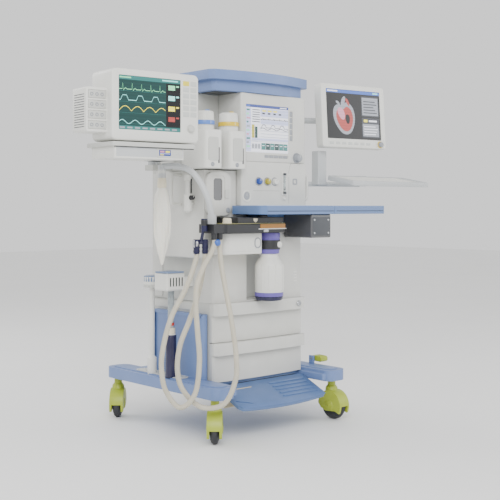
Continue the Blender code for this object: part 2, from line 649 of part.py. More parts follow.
def controls():
    """Flow-control knobs, the rotary knob, the auxiliary oxygen knob and the power switch."""
    colours = ((0.03, 0.06, 0.35), (0.50, 0.45, 0.05), (0.05, 0.05, 0.055))
    names = ("flow_knob_left", "flow_knob_middle", "flow_knob_right")
    made = [knob(n, KNOB_RADIUS, 0.022, (x, CONTROL_FRONT, FLOW_KNOB_Z), c)
            for n, x, c in zip(names, FLOW_KNOBS, colours)]
    made.append(knob("aux_flow_knob", 0.009, 0.016, (0.118, CONTROL_FRONT, 0.968), (0.08, 0.08, 0.08), 12))
    made.append(knob("rotary_knob", 0.0175, 0.020, (0.196, SCREEN_FRONT, 1.143), (0.35, 0.35, 0.36), 20))
    s0, s1, s2, s3 = SWITCH
    switch = box("power_switch", (s0, CONTROL_FRONT - 0.003, s2), (s1, CONTROL_FRONT + 0.0025, s3),
                 edge=0.0015)
    paint(switch, "black_plastic", (0.03, 0.03, 0.03), 0.4)
    return made + [switch]


def grab_handle(name, foot, reach, low, high):
    """D-shaped bar standing off a side face; foot is (x, y) on that face."""
    x, y = foot
    side = math.copysign(1, reach)
    out = x + reach - side * HANDLE_BAR
    r = 0.020
    start = x + side * GAP
    points = [(start, y, low + HANDLE_BAR)]
    for t in range(5):
        a = math.radians(90 * t / 4)
        points.append((out - side * r * (1 - math.sin(a)), y, low + HANDLE_BAR + r * (1 - math.cos(a))))
    for t in range(5):
        a = math.radians(90 * t / 4)
        points.append((out - side * r * (1 - math.cos(a)), y, high - HANDLE_BAR - r * (1 - math.sin(a))))
    points.append((start, y, high - HANDLE_BAR))
    bar = tube(name, points, HANDLE_BAR, 2)
    return paint(bar, "white_plastic", (0.78, 0.78, 0.77), 0.4)


# --------------------------------------------------- ventilator, vaporizers
def ventilator_pod():
    """Left-hand case with the piston's chamber, seen through the door's window."""
    x0, x1, z0, z1 = POD
    pod = box("ventilator_pod", (x0, POD_FRONT, z0), (-CABINET_HALF_WIDTH - GAP, 0.110, z1))
    above = box("pod_front", (x0, POD_FRONT, BLOCK[3] + GAP), (x1, COLUMN_FRONT - GAP, z1))
    soften(pod, 0.004)
    combine(pod, [above])
    c0, c1, c2, c3 = CHAMBER
    chamber = box("chamber", (c0, POD_FRONT - 0.01, c2), (c1, CHAMBER_BACK, c3))
    cut(pod, chamber)
    return paint(pod, "white_enamel", (0.72, 0.72, 0.70), 0.45)


def ventilator_door():
    x0, x1, z0, z1 = DOOR
    r = 0.035
    outline = [(x0, z0), (x1, z0)] + arc((x1 - r, z1 - r), r, 0, 90, 5) + [(x0, z1)]
    door = prism("ventilator_door", outline, "XZ", POD_FRONT - GAP - DOOR_THICKNESS, POD_FRONT - GAP)
    a0, a1, b0, b1 = DOOR_WINDOW
    window = box("door_window", (a0, POD_FRONT - 0.05, b0), (a1, POD_FRONT + 0.01, b1), corner=0.0)
    soften(door, 0.003)
    cut(door, window)
    pivot(door, (x0, POD_FRONT - GAP, (z0 + z1) / 2))
    return paint(door, "white_plastic", (0.78, 0.78, 0.77), 0.4)


def ventilator_piston():
    c0, c1, c2, c3 = CHAMBER
    middle = ((c0 + c1) / 2, (POD_FRONT + CHAMBER_BACK) / 2, 0)
    profile = [(0, 1.010), (0.030, 1.010), (0.038, 1.002), (0.038, 0.976), (0.012, 0.972), (0.012, c2 + GAP),
               (0, c2 + GAP)]
    piston = turned("ventilator_piston", profile, middle, None, 20)
    return paint(piston, "black_rubber", (0.04, 0.04, 0.045), 0.5)


def vaporizer(name, x):
    """Body of a vaporizer: a block that tapers to a collar for its dial."""
    w = VAPORIZER_HALF_WIDTH
    back = VAPORIZER_BACK
    front = VAPORIZER_FRONT
    body = box(name, (x - w, front, VAPORIZER_BOTTOM), (x + w, back, VAPORIZER_TOP - 0.020), corner=0.012,
               edge=0.004)
    collar = disc("collar", DIAL_RADIUS - 0.003, VAPORIZER_TOP - 0.030, VAPORIZER_TOP - GAP,
                  (x, front + DIAL_RADIUS + 0.010, 0), None, 20)
    filler = box("filler", (x + w * 0.10, front - 0.016, VAPORIZER_BOTTOM + 0.010),
                 (x + w * 0.65, front + 0.01, VAPORIZER_BOTTOM + 0.050), edge=0.003)
    combine(body, [collar, filler])
    return paint(body, "white_plastic", (0.72, 0.72, 0.71), 0.4)


def vaporizer_dial(name, x, rgb):
    place = (x, VAPORIZER_FRONT + DIAL_RADIUS + 0.010, VAPORIZER_TOP)
    h, r = DIAL_HEIGHT, DIAL_RADIUS
    profile = [(0, h), (r - 0.010, h), (r - 0.003, h - 0.006), (r - 0.001, 0.020), (r, 0.018), (r, 0), (0, 0)]
    dial = turned(name, profile, place, None, 24)
    return paint(dial, name + "_plastic", rgb, 0.4)


def vaporizer_interlock():
    """Knob and lever between the vaporizers that lock one while the other is open."""
    x = (VAPORIZERS[0] + VAPORIZERS[1]) / 2
    y = -0.1175
    place = (x, y, BAR_TOP + GAP)
    profile = [(0, 0.215), (0.013, 0.215), (0.016, 0.210), (0.016, 0.192), (0.009, 0.188), (0.009, 0), (0, 0)]
    post = turned("vaporizer_interlock", profile, place, None, 16)
    lever = box("interlock_lever", (x - 0.006, y - 0.080, place[2] + 0.194), (x + 0.006, y, place[2] + 0.206),
                edge=0.002)
    combine(post, [lever])
    pivot(post, place)
    return paint(post, "grey_plastic", (0.55, 0.56, 0.55), 0.4)


# --------------------------------------------------------- breathing system
def breathing_block():
    """Dark block that carries the valves; its two hose ports stick out at the left end."""
    x0, x1, z0, z1 = BLOCK
    block = box("breathing_block", (x0, BLOCK_FRONT, z0), (x1, BLOCK_BACK, z0 + BLOCK_HEIGHT), corner=0.018,
                edge=0.003)
    plinth = box("valve_plinth", (x0 + 0.085, BLOCK_FRONT + 0.012, z0 + 0.030), (x1 - 0.006, BLOCK_BACK, z1),
                 edge=0.002)
    ports = [disc("hose_port", HOSE_RADIUS + 0.0015, end + GAP, z0 + 0.01, (x, y, 0), None, 16)
             for x, y, end in HOSE_PORTS]
    neck = box("port_neck", (NECK_END, -0.3550, z0 + 0.002), (x0 + 0.030, -0.262, BAG_ARM_ROUTE[0][2] - GAP))
    combine(block, [plinth, neck, *ports])
    return paint(block, "black_plastic", (0.035, 0.035, 0.040), 0.35)


def apl_valve():
    """Pressure-limiting valve: chrome body with a lever, turning on the block."""
    x, y = BLOCK[0] + 0.050, -0.322
    z = BLOCK[2] + BLOCK_HEIGHT + GAP
    knob_profile = [(0, 0.024), (0.016, 0.024), (0.019, 0.020), (0.019, 0.004), (0.015, 0.0), (0, 0.0)]
    valve = turned("apl_valve", knob_profile, (x, y, z), None, 18)
    return paint(valve, "cream_plastic", (0.62, 0.60, 0.52), 0.4)


def ventilator_bowl():
    """White housing under the block, round at its front corners."""
    x0, x1, z0 = BOWL
    bowl = box("ventilator_bowl", (x0, BOWL_FRONT, z0), (x1, BLOCK_BACK, BLOCK[2] - GAP), corner=0.030,
               edge=0.008, steps=4)
    button = disc("bowl_button", 0.014, 0.0, 0.006, (x1 - 0.055, BOWL_FRONT + 0.002, z0 + 0.045), FACING, 16)
    combine(bowl, [button])
    return paint(bowl, "white_plastic", (0.76, 0.76, 0.75), 0.4)


def absorber_adapter():
    """Socket that the absorber canister twists into."""
    low, high = ADAPTER
    r = ADAPTER_RADIUS
    profile = [(0, high), (r, high), (r, high - 0.020), (r - 0.006, high - 0.030), (r - 0.006, low), (0, low)]
    adapter = turned("absorber_adapter", profile, (ADAPTER_X, ADAPTER_Y, 0), None, 20)
    button = box("release_button", (ADAPTER_X - 0.011, ADAPTER_Y - r - 0.004, low + 0.012),
                 (ADAPTER_X + 0.011, ADAPTER_Y - r + 0.016, low + 0.050), edge=0.003)
    combine(adapter, [button])
    return paint(adapter, "purple_plastic", (0.055, 0.045, 0.16), 0.35)


def absorber_canister():
    low, high = CANISTER
    r = CANISTER_RADIUS
    profile = [(0, high), (0.034, high), (0.040, high - 0.012), (r - 0.006, high - 0.030), (r, high - 0.045),
               (r, low + 0.028), (r - 0.004, low + 0.024), (r - 0.006, low), (0, low)]
    canister = turned("absorber_canister", profile, (ADAPTER_X, ADAPTER_Y, 0), None, 24)
    return paint(canister, "white_plastic", (0.80, 0.80, 0.80), 0.4)


# ----------------------------------------------------------------- worktop
def worktop():
    x0, x1, z0, z1 = WORKTOP
    back = COLUMN_FRONT - GAP
    inner = POD[1] + 0.0057
    r = 0.030
    outline = arc((x0 + r, WORKTOP_FRONT + r), r, 180, 270, 5)
    outline += [(x1, WORKTOP_FRONT), (x1, back), (inner, back), (inner, BLOCK_BACK), (x0, BLOCK_BACK)]
    top = prism("worktop", outline, "XY", z0, z1)
    soften(top, 0.005)
    column = box("worktop_column", (0.035, BLOCK_BACK + 0.0015, FRONT_PANEL_TOP + GAP),
                 (CABINET_HALF_WIDTH - 0.005, COLUMN_FRONT - 0.010, z0 + 0.004))
    combine(top, [column])
    return paint(top, "blue_edge_laminate", (0.105, 0.165, 0.330), 0.4)


def worktop_leaf():
    x1, z0, z1 = WORKTOP[1:]
    start = x1 + 0.0008
    r = 0.020
    outline = [(start, LEAF_BACK), (start, WORKTOP_FRONT)]
    outline += arc((LEAF_END - r, WORKTOP_FRONT + r), r, 270, 360, 4)
    outline += arc((LEAF_END - r, LEAF_BACK - r), r, 0, 90, 4)
    leaf = prism("worktop_leaf", outline, "XY", z0, z1)
    soften(leaf, 0.004)
    pivot(leaf, (x1, (WORKTOP_FRONT + LEAF_BACK) / 2, z0))
    return paint(leaf, "blue_edge_laminate", (0.115, 0.175, 0.350), 0.4)


def leaf_bracket():
    """Smoked box under the worktop's right end, where a sliding shelf stows."""
    x1 = CABINET_HALF_WIDTH - 0.005
    bracket = box("leaf_bracket", (x1 - 0.120, WORKTOP_FRONT + 0.015, WORKTOP[2] - 0.100),
                  (x1, BLOCK_BACK + 0.0007, WORKTOP[2] - GAP), edge=0.004)
    return paint(bracket, "smoked_plastic", (0.10, 0.10, 0.10), 0.3)


# ---------------------------------------------------- bag arm, Y-piece, hoses
def bag_arm():
    """Curved arm that carries the breathing bag; it turns on its port at the block."""
    inside_collar = Vector(BAG_ARM_ROUTE[0]) + Vector((0, 0, 0.010))
    arm = tube("bag_arm", smooth_path([inside_collar, *BAG_ARM_ROUTE[1:]], 0.022), 0.0125, 2)
    collar = disc("arm_collar", 0.018, 0.0, 0.038, BAG_ARM_ROUTE[0], None, 16)
    elbow = disc("arm_elbow", 0.016, -0.050, 0.006, BAG_ARM_ROUTE[-1], None, 16)
    combine(arm, [collar, elbow])
    pivot(arm, BAG_ARM_ROUTE[0])
    return paint(arm, "grey_corrugated_plastic", (0.45, 0.45, 0.44), 0.45)


def breathing_bag():
    x, y, z = BAG_ARM_ROUTE[-1]
    top = z - 0.050 - GAP
    profile = [(0, 0), (0.015, 0), (0.017, -0.020), (0.030, -0.060), (0.036, -0.130), (0.036, -0.200),
               (0.028, -0.260), (0.012, -0.310), (0.005, -0.345), (0, -0.345)]
    bag = turned("breathing_bag", profile, (0, 0, 0), None, 16)
    bag.matrix_world = Matrix.Translation((x, y, top)) @ Matrix.Rotation(LOOKING - math.pi / 2, 4, "Z") \
        @ Matrix.Diagonal((1.0, 0.55, 1.0, 1.0))
    return paint(bag, "white_silicone", (0.78, 0.77, 0.72), 0.5)


def y_piece():
    """Parked patient connector: a knob on the block's side and two sleeves hanging from it."""
    x, y, z = Y_PARK
    head = disc("y_piece", 0.013, -0.028, 0.022, (x, y, z), None, 16)
    low, high = Y_SLEEVES[0] + Vector((0, 0, 0.010)), Y_SLEEVES[1] + Vector((0, 0, 0.010))
    bridge = tube("bridge", [low, high], 0.0075, 3)
    neck = tube("neck", [Vector((x, y, z - 0.004)), (low + high) / 2], 0.0065, 2)
    sleeves = [disc("sleeve", 0.0125, -SLEEVE_DROP, 0.022, s, None, 18) for s in Y_SLEEVES]
    peg = tube("peg", [(x + 0.004, y, z - 0.017), (NECK_END - GAP, y, z - 0.017)], 0.0045, 2)
    combine(head, [neck, bridge, *sleeves, peg])
    return paint(head, "dark_blue_plastic", (0.06, 0.06, 0.16), 0.35)


def breathing_hose(name, route):
    points = [route[0], *smooth_path(route[1:-1], 0.050), route[-1]]
    hose = tube(name, points, HOSE_RADIUS, 2)
    return paint(hose, "beige_hose", (0.66, 0.61, 0.52), 0.5)


# ------------------------------------------------- scavenging and suction
def scavenging_receiver():
    """Scavenging receiver: a box with a clear tube and a dark base standing on the left deck."""
    x, y = SCAVENGE
    body = box("scavenging_receiver", (x - 0.055, y - 0.045, 0.585), (x + 0.040, y + 0.045, 0.658), edge=0.006)
    profile = [(0, 0.600), (0.012, 0.600), (0.012, 0.424), (0.016, 0.418), (0.016, 0.405), (0.021, 0.400),
               (0.021, RAIL_TOP + GAP), (0, RAIL_TOP + GAP)]
    stand = turned("receiver_tube", profile, (x, y, 0), None, 16)
    bracket = box("receiver_bracket", (x + 0.020, y - 0.041, 0.600),
                  (-CABINET_HALF_WIDTH - GAP, y - 0.015, 0.640))
    combine(body, [stand, bracket])
    return paint(body, "white_plastic", (0.74, 0.74, 0.73), 0.4)


def suction_jar():
    """Suction unit: a flat round lid on a slim white column behind the receiver."""
    x, y = JAR
    profile = [(0, 0.640), (0.030, 0.640), (0.036, 0.634), (0.036, 0.598), (0.030, 0.590), (0.011, 0.586),
               (0.011, 0.300), (0.020, 0.290), (0.020, RAIL_TOP + GAP), (0, RAIL_TOP + GAP)]
    jar = turned("suction_jar", profile, (x, y, 0), None, 18)
    return paint(jar, "grey_blue_plastic", (0.16, 0.20, 0.30), 0.35)


# ------------------------------------------------------------------ monitors
def slab(name, centre, size, turn, tilt=0.0, edge=0.006):
    """A box about its own centre, turned about Z then tilted back about its width."""
    half = Vector(size) / 2
    piece = box(name, -half, half, edge=edge)
    spin = Matrix.Rotation(turn, 4, "Z") @ Matrix.Rotation(tilt, 4, "X")
    piece.matrix_world = Matrix.Translation(centre) @ spin
    return piece


def monitor_shelf():
    """Arm from the left side and the shelf under the patient monitor, with its modules."""
    post_x, post_y = SHELF_PIVOT
    x, y, z = SHELF_TRAY
    hub = disc("monitor_shelf", 0.026, *SHELF_HUB, (post_x, post_y, 0), None, 18)
    reach = tube("shelf_reach", [(post_x, post_y, 1.135), (x + 0.080, -0.215, 1.135)], 0.020, 3)
    tray = slab("shelf_tray", SHELF_TRAY, (0.360, 0.200, SHELF_THICKNESS), SHELF_TURN)
    under = slab("shelf_module", (x - 0.020, y - 0.008, z - 0.0275), (0.300, 0.170, 0.046), SHELF_TURN)
    clamp = slab("shelf_clamp", (x + 0.095, -0.215, z - 0.0355), (0.080, 0.060, 0.030), SHELF_TURN)
    combine(hub, [reach, tray, under, clamp])
    pivot(hub, (post_x, post_y, 1.135))
    return paint(hub, "pale_grey_metal", (0.60, 0.61, 0.61), 0.45)


def patient_monitor():
    """Left monitor: deep case, sunk screen, and the module rack on its left side."""
    turn = SHELF_TURN
    frame = Matrix.Translation(MONITOR_CENTRE) @ Matrix.Rotation(turn, 4, "Z")
    case = box("patient_monitor", (-0.190, 0.0, 0.0), (0.190, 0.150, 0.262), edge=0.012)
    pocket = box("monitor_pocket", (-0.162, -0.02, 0.040), (0.108, 0.004, 0.238))
    rack = box("module_rack", (-0.275, 0.035, 0.028), (-0.180, 0.140, 0.190), edge=0.005)
    dial = disc("monitor_dial", 0.014, -0.002, 0.012, (0.152, 0.0, 0.055), FACING, 16)
    foot = disc("monitor_foot", 0.050, SHELF_TRAY[2] + SHELF_THICKNESS / 2 + GAP - MONITOR_CENTRE.z, 0.004,
                (0, MONITOR_PIVOT, 0), None, 20)
    for piece in (case, pocket, rack, dial, foot):
        piece.matrix_world = frame @ piece.matrix_world
    combine(case, [rack, foot])
    cut(case, pocket)
    hollow(case, (-0.180, 0.012, 0.050), (0.180, 0.142, 0.252), frame)
    hollow(case, (-0.060, 0.130, 0.090), (0.060, 0.170, 0.110), frame)
    combine(case, [dial])
    pivot(case, frame @ Vector((0, MONITOR_PIVOT, 0.0)))
    return paint(case, "white_plastic", (0.72, 0.73, 0.72), 0.4)


def screen_arm():
    """Right-hand arm: from the body's side to the column behind the second screen."""
    middle = sum(ARM_HUB) / 2
    hub = disc("screen_arm", 0.022, *ARM_HUB, (*ARM_PIVOT, 0), None, 18)
    reach = tube("arm_reach", [(*ARM_PIVOT, middle), (*ARM_HEAD, middle)], 0.014, 2)
    head = disc("arm_head", 0.019, ARM_HUB[0] + 0.010, ARM_HUB[1] + 0.005, (*ARM_HEAD, 0), None, 16)
    combine(hub, [reach, head])
    pivot(hub, (*ARM_PIVOT, middle))
    return paint(hub, "pale_grey_metal", (0.60, 0.61, 0.61), 0.4)


def data_screen():
    """Flat second screen, turned towards the operator."""
    turn = Matrix.Rotation(SCREEN_TURN, 4, "Z") @ Matrix.Rotation(SCREEN_TILT, 4, "X")
    frame = Matrix.Translation(SCREEN_CENTRE) @ turn
    case = box("data_screen", (-0.188, 0.0, -0.145), (0.188, 0.050, 0.145), edge=0.008)
    pocket = box("data_pocket", (-0.160, -0.02, -0.105), (0.160, 0.004, 0.122))
    dial = disc("data_dial", 0.013, -0.002, 0.014, (0.150, 0.0, -0.125), FACING, 16)
    lug = box("data_lug", (-0.035, 0.040, -0.028), (0.035, 0.075, 0.028), edge=0.004)
    for piece in (case, pocket, dial, lug):
        piece.matrix_world = frame @ piece.matrix_world
    combine(case, [lug])
    cut(case, pocket)
    combine(case, [dial])
    pivot(case, (*ARM_HEAD, SCREEN_CENTRE.z))
    return paint(case, "white_plastic", (0.74, 0.75, 0.75), 0.4)


def keyboard_arm():
    """Rod from the machine's side to the keyboard tray, with the column between screen and tray."""
    x, y = KEY_PIVOT
    bend, end = x + 0.131, TRAY_HINGE.x
    hub = disc("keyboard_arm", 0.020, *KEY_HUB, (x, y, 0), None, 18)
    route = [(x, y, KEY_ROD_Z), (bend, -0.160, KEY_ROD_Z), (end, -0.195, KEY_ROD_Z)]
    reach = tube("key_reach", route, 0.011, 2)
    column = box("screen_column", (bend - 0.026, -0.200, KEY_ROD_Z - 0.005), (bend + 0.030, -0.156, 1.185),
                 edge=0.003)
    hinge_y = TRAY_HINGE.y
    cradle = box("tray_cradle", (end - 0.025, hinge_y + 0.0165, 1.028), (end + 0.025, hinge_y + 0.0525, 1.076))
    combine(hub, [reach, column, cradle])
    pivot(hub, (x, y, KEY_ROD_Z))
    return paint(hub, "pale_grey_metal", (0.60, 0.61, 0.61), 0.4)


def keyboard_tray():
    tray = box("keyboard_tray", (-0.265, -0.170, -0.010), (0.265, 0.0, 0.012), corner=0.015, edge=0.004)
    hinge = tube("tray_hinge", [(-0.060, 0.006, 0.0), (0.060, 0.006, 0.0)], 0.010, 2)
    frame = Matrix.Translation(TRAY_HINGE) @ Matrix.Rotation(KEY_TILT, 4, "X")
    for piece in (tray, hinge):
        piece.matrix_world = frame @ piece.matrix_world
    combine(tray, [hinge])
    pivot(tray, frame @ Vector((0, 0.006, 0)))
    return paint(tray, "grey_plastic", (0.50, 0.51, 0.53), 0.45)


def oxygen_flowmeter():
    """Flowmeter on the left side: body, clear tube and cap."""
    x, y = FLOWMETER
    body = turned("oxygen_flowmeter",
                  [(0, 1.062), (0.013, 1.062), (0.016, 1.058), (0.016, 1.040), (0.011, 1.036), (0.011, 0.985),
                   (0.017, 0.980), (0.017, 0.915), (0.010, 0.908), (0, 0.908)], (x, y, 0), None, 16)
    stub = tube("flowmeter_stub", [(x, y, 0.945), (POD[0] - GAP, y, 0.945)], 0.007, 2)
    combine(body, [stub])
    return paint(body, "white_plastic", (0.74, 0.74, 0.73), 0.4)


# ------------------------------------------------------------ whole machine
def build():
    clear_scene()
    made = [base_chassis(), footrest(), brake_pedal()]
    headings = {"front_left": LOOKING, "rear_left": LOOKING, "front_right": math.pi / 2, "rear_right": LOOKING}
    for corner, heading in headings.items():
        side_x = -1 if corner.endswith("left") else 1
        side_y = -1 if corner.startswith("front") else 1
        made += castor(corner, side_x, side_y, heading)
    made += [cabinet(), drawer("lower_drawer", *LOWER_DRAWER), drawer("upper_drawer", *UPPER_DRAWER)]
    made += [drawer_lock(), front_panel(), upper_housing(), canopy(), control_panel(), screen_housing()]
    made += [display(), *controls()]
    made += [grab_handle("grab_handle_right", (CABINET_HALF_WIDTH, -0.205), HANDLE_REACH, 0.955, 1.078),
             grab_handle("grab_handle_left", (POD[0], -0.067), -HANDLE_REACH, 0.936, 1.070)]
    made += [ventilator_pod(), ventilator_door(), ventilator_piston()]
    dials = (("left", VAPORIZERS[0], (0.62, 0.64, 0.70)), ("right", VAPORIZERS[1], (0.70, 0.66, 0.45)))
    for side, x, rgb in dials:
        made += [vaporizer("vaporizer_" + side, x), vaporizer_dial("vaporizer_dial_" + side, x, rgb)]
    made += [vaporizer_interlock(), breathing_block(), apl_valve(), ventilator_bowl(), absorber_adapter(),
             absorber_canister(), worktop(), worktop_leaf(), leaf_bracket()]
    flow_x, flow_y = FLOWMETER
    made += [oxygen_flowmeter(),
             knob("oxygen_flow_knob", 0.010, 0.016, (flow_x, flow_y - 0.0170, 0.968), (0.04, 0.04, 0.04), 12)]
    hoses = [breathing_hose("breathing_hose_a", HOSE_A), breathing_hose("breathing_hose_b", HOSE_B)]
    made += [bag_arm(), breathing_bag(), y_piece(), scavenging_receiver(), suction_jar(), monitor_shelf(),
             patient_monitor(), screen_arm(), data_screen(), keyboard_arm(), keyboard_tray()]
    place_on_floor(made, hoses)


def place_on_floor(pieces, hoses):
    """Parents every piece to one empty, set so that the origin is under the outline's middle."""
    bpy.context.view_layer.update()
    graph = bpy.context.evaluated_depsgraph_get()
    spots = []
    for piece in pieces:
        seen = piece.evaluated_get(graph)
        spots += [seen.matrix_world @ v.co for v in seen.data.vertices]
    middle = [(min(s[i] for s in spots) + max(s[i] for s in spots)) / 2 for i in (0, 1)]
    root = bpy.data.objects.new("machine_origin", None)
    parts.objects.link(root)
    for piece in pieces + hoses:
        piece.parent = root
    for tool in helpers.objects:
        tool.parent = root
    root.location = (-middle[0], -middle[1], 0.0)
    print("origin offset", tuple(round(v, 6) for v in root.location))


build()
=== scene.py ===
# %% [markdown]
# # An anesthesia machine, finished in Blender
#
# The machine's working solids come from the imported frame: rails, drawers, arms, knobs and their joints.
# This lesson gives them their surfaces. Each cell first says what a piece is on the real machine, how it
# could be made, and why it is made as it is here. Everything is in metres and stands where the frame says.

# %% Load the frame
import json
import math

import bmesh
import bpy
from mathutils import Matrix, Vector


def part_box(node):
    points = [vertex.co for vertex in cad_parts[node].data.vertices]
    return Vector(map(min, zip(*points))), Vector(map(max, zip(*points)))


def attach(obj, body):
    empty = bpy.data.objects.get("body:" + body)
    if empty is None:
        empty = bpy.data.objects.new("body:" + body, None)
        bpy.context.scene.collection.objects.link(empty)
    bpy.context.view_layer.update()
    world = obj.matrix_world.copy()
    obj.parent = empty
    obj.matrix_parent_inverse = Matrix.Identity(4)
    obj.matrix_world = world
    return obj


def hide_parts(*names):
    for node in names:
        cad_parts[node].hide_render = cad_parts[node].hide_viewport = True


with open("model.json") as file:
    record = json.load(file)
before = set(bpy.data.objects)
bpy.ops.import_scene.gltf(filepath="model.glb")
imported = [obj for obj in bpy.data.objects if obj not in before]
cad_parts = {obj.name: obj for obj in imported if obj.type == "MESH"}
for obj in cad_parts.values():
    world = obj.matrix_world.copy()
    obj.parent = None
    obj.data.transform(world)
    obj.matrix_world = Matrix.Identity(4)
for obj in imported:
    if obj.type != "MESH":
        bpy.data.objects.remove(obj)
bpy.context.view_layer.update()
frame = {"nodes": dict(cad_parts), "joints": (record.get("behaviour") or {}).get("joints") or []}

# %% [markdown]
# ## One origin for the drawings
#
# The frame's origin is under the middle of the machine's outline, with its screens swung out. Drawings of
# the machine itself start from the cabinet's middle instead. `machine` turns such a place into the frame's
# own.

# %% Machine coordinates
cabinet_low, cabinet_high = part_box("cabinet")
CABINET_BACK = 0.195                      # from the machine's own origin to the cabinet's back
ORIGIN = Vector(((cabinet_low.x + cabinet_high.x) / 2, cabinet_high.y - CABINET_BACK, 0.0))


def machine(x, y, z):
    """A place in the machine's own coordinates, as a place in the frame."""
    return ORIGIN + Vector((x, y, z))


def edges_of(node):
    """Left, right, front, back, bottom and top of a CAD node, in machine coordinates."""
    low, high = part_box(node)
    low, high = low - ORIGIN, high - ORIGIN
    return low.x, high.x, low.y, high.y, low.z, high.z


HINGES = {joint["child"]: Vector(joint["pos_m"]) for joint in frame["joints"] if joint["type"] == "hinge"}
print("origin", tuple(round(v, 4) for v in ORIGIN), "with", len(HINGES), "hinged bodies")

# %% [markdown]
# ## The camera
#
# The machine is looked at from its front left, at chest height, with a long lens, so that its uprights stay
# parallel. Keeping the camera level and shifting the lens down a little does what a view camera does.

# %% Camera
CAMERA_PLACE = machine(-2.7864, -3.2585, 0.93)
CAMERA_TURN = math.radians(-42.0)
LENS_MM = 69.84
SENSOR_MM = 36.0
LENS_SHIFT = -0.086

camera_data = bpy.data.cameras.new("studio_camera")
camera_data.lens = LENS_MM
camera_data.sensor_width = SENSOR_MM
camera_data.shift_y = LENS_SHIFT
camera = bpy.data.objects.new("studio_camera", camera_data)
camera.location = CAMERA_PLACE
camera.rotation_euler = (math.radians(90), 0.0, CAMERA_TURN)
bpy.context.scene.collection.objects.link(camera)
bpy.context.scene.camera = camera
print("camera at", tuple(round(v, 3) for v in camera.location))

# %% [markdown]
# ## Breathing hoses
#
# Two corrugated hoses hang from the parked Y-piece, loop near the floor and climb back to the block's ports.
# Both ends are seen, so what is seen is their length. Each is one smooth curve through the places chosen for
# its route. The curve's points alternate between full and reduced radius, and that is what makes the
# corrugation: real ribs stand about 3 mm apart, and 8 mm is as fine as still shows from this far.

# %% Routes of the hoses
HOSE_RADIUS = 0.011
HOSE_PITCH = 0.008
HOSE_WAIST = 0.84                         # radius between two ribs, as a share of the full one
HOSE_ROUTES = {"breathing_hose_a": ((-0.399, -0.294, 0.7467), (-0.399, -0.294, 0.7320),
        (-0.424, -0.296, 0.672), (-0.467, -0.301, 0.600), (-0.525, -0.295, 0.505), (-0.557, -0.287, 0.392),
        (-0.561, -0.283, 0.308), (-0.549, -0.294, 0.228), (-0.509, -0.330, 0.165), (-0.467, -0.369, 0.217),
        (-0.454, -0.380, 0.339), (-0.459, -0.375, 0.453), (-0.461, -0.367, 0.552), (-0.447, -0.359, 0.635),
        (-0.410, -0.354, 0.702), (-0.366, -0.344, 0.752), (-0.347, -0.340, 0.7880),
        (-0.347, -0.340, 0.8027),), "breathing_hose_b": ((-0.368, -0.309, 0.7467), (-0.368, -0.309, 0.7320),
        (-0.372, -0.303, 0.690), (-0.383, -0.302, 0.636), (-0.407, -0.301, 0.563), (-0.440, -0.298, 0.483),
        (-0.478, -0.291, 0.396), (-0.493, -0.294, 0.302), (-0.479, -0.310, 0.225), (-0.427, -0.357, 0.160),
        (-0.362, -0.416, 0.171), (-0.329, -0.446, 0.264), (-0.327, -0.447, 0.360), (-0.332, -0.423, 0.501),
        (-0.328, -0.379, 0.633), (-0.322, -0.351, 0.714), (-0.320, -0.340, 0.7880),
        (-0.320, -0.340, 0.8027),),}


def smooth_path(points, spacing):
    """Points about a spacing apart on a smooth curve through the given ones."""
    points = [Vector(p) for p in points]
    ends = [2 * points[0] - points[1], *points, 2 * points[-1] - points[-2]]
    fine = []
    for p0, p1, p2, p3 in zip(ends, ends[1:], ends[2:], ends[3:]):
        for i in range(20):
            t = i / 20
            bend = (2 * p0 - 5 * p1 + 4 * p2 - p3) * t * t + (3 * p1 - p0 - 3 * p2 + p3) * t ** 3
            fine.append(0.5 * (2 * p1 + (p2 - p0) * t + bend))
    fine.append(points[-1])
    length = sum((b - a).length for a, b in zip(fine, fine[1:]))
    count = max(2, round(length / spacing))
    even, walked = [fine[0]], 0.0
    for a, b in zip(fine, fine[1:]):
        step = (b - a).length
        while walked + step >= length * len(even) / count - 1e-9 and len(even) < count:
            even.append(a.lerp(b, (length * len(even) / count - walked) / step))
        walked += step
    return even + [fine[-1]]


def bent_rod(name, points, radius, sides=3, radii=None):
    """A round bar along points, as a curve with closed ends. Each point's own radius is in metres."""
    curve = bpy.data.curves.new(name, "CURVE")
    curve.dimensions = "3D"
    curve.bevel_depth = 1.0
    curve.bevel_resolution = sides
    curve.use_fill_caps = True
    spline = curve.splines.new("POLY")
    spline.points.add(len(points) - 1)
    for i, place in enumerate(points):
        spline.points[i].co = (*place, 1.0)
        spline.points[i].radius = radius * (radii[i] if radii else 1.0)
    made = bpy.data.objects.new(name, curve)
    bpy.context.scene.collection.objects.link(made)
    return made


# %% [markdown]
# Each hose is a round bar whose radius changes every 4 mm, as a corrugated hose does. Its route is measured,
# and its ribs are spaced evenly along that length.

# %% Make the hoses
hoses = {}
for hose_name, route in HOSE_ROUTES.items():
    line = smooth_path([machine(*p) for p in route], HOSE_PITCH / 2)
    ribs = [1.0 if i % 2 else HOSE_WAIST for i in range(len(line))]
    hoses[hose_name] = bent_rod(hose_name + "_corrugated", line, HOSE_RADIUS, 3, ribs)
    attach(hoses[hose_name], "root")
    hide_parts(hose_name)

# %% [markdown]
# ## Modelling helpers
#
# Pieces are made as by hand: a primitive is added at its size and place, taken into edit mode, and shaped
# with inset, extrude and bevel. Faces are found by where they lie or where they look, so nothing depends on
# the order in which Blender numbers them. The frame's own meshes start out selected, so the selection is
# emptied before each step.

# %% Selection and primitives
FRONT, BACK = Vector((0, -1, 0)), Vector((0, 1, 0))
LEFT, RIGHT = Vector((-1, 0, 0)), Vector((1, 0, 0))
UP = Vector((0, 0, 1))


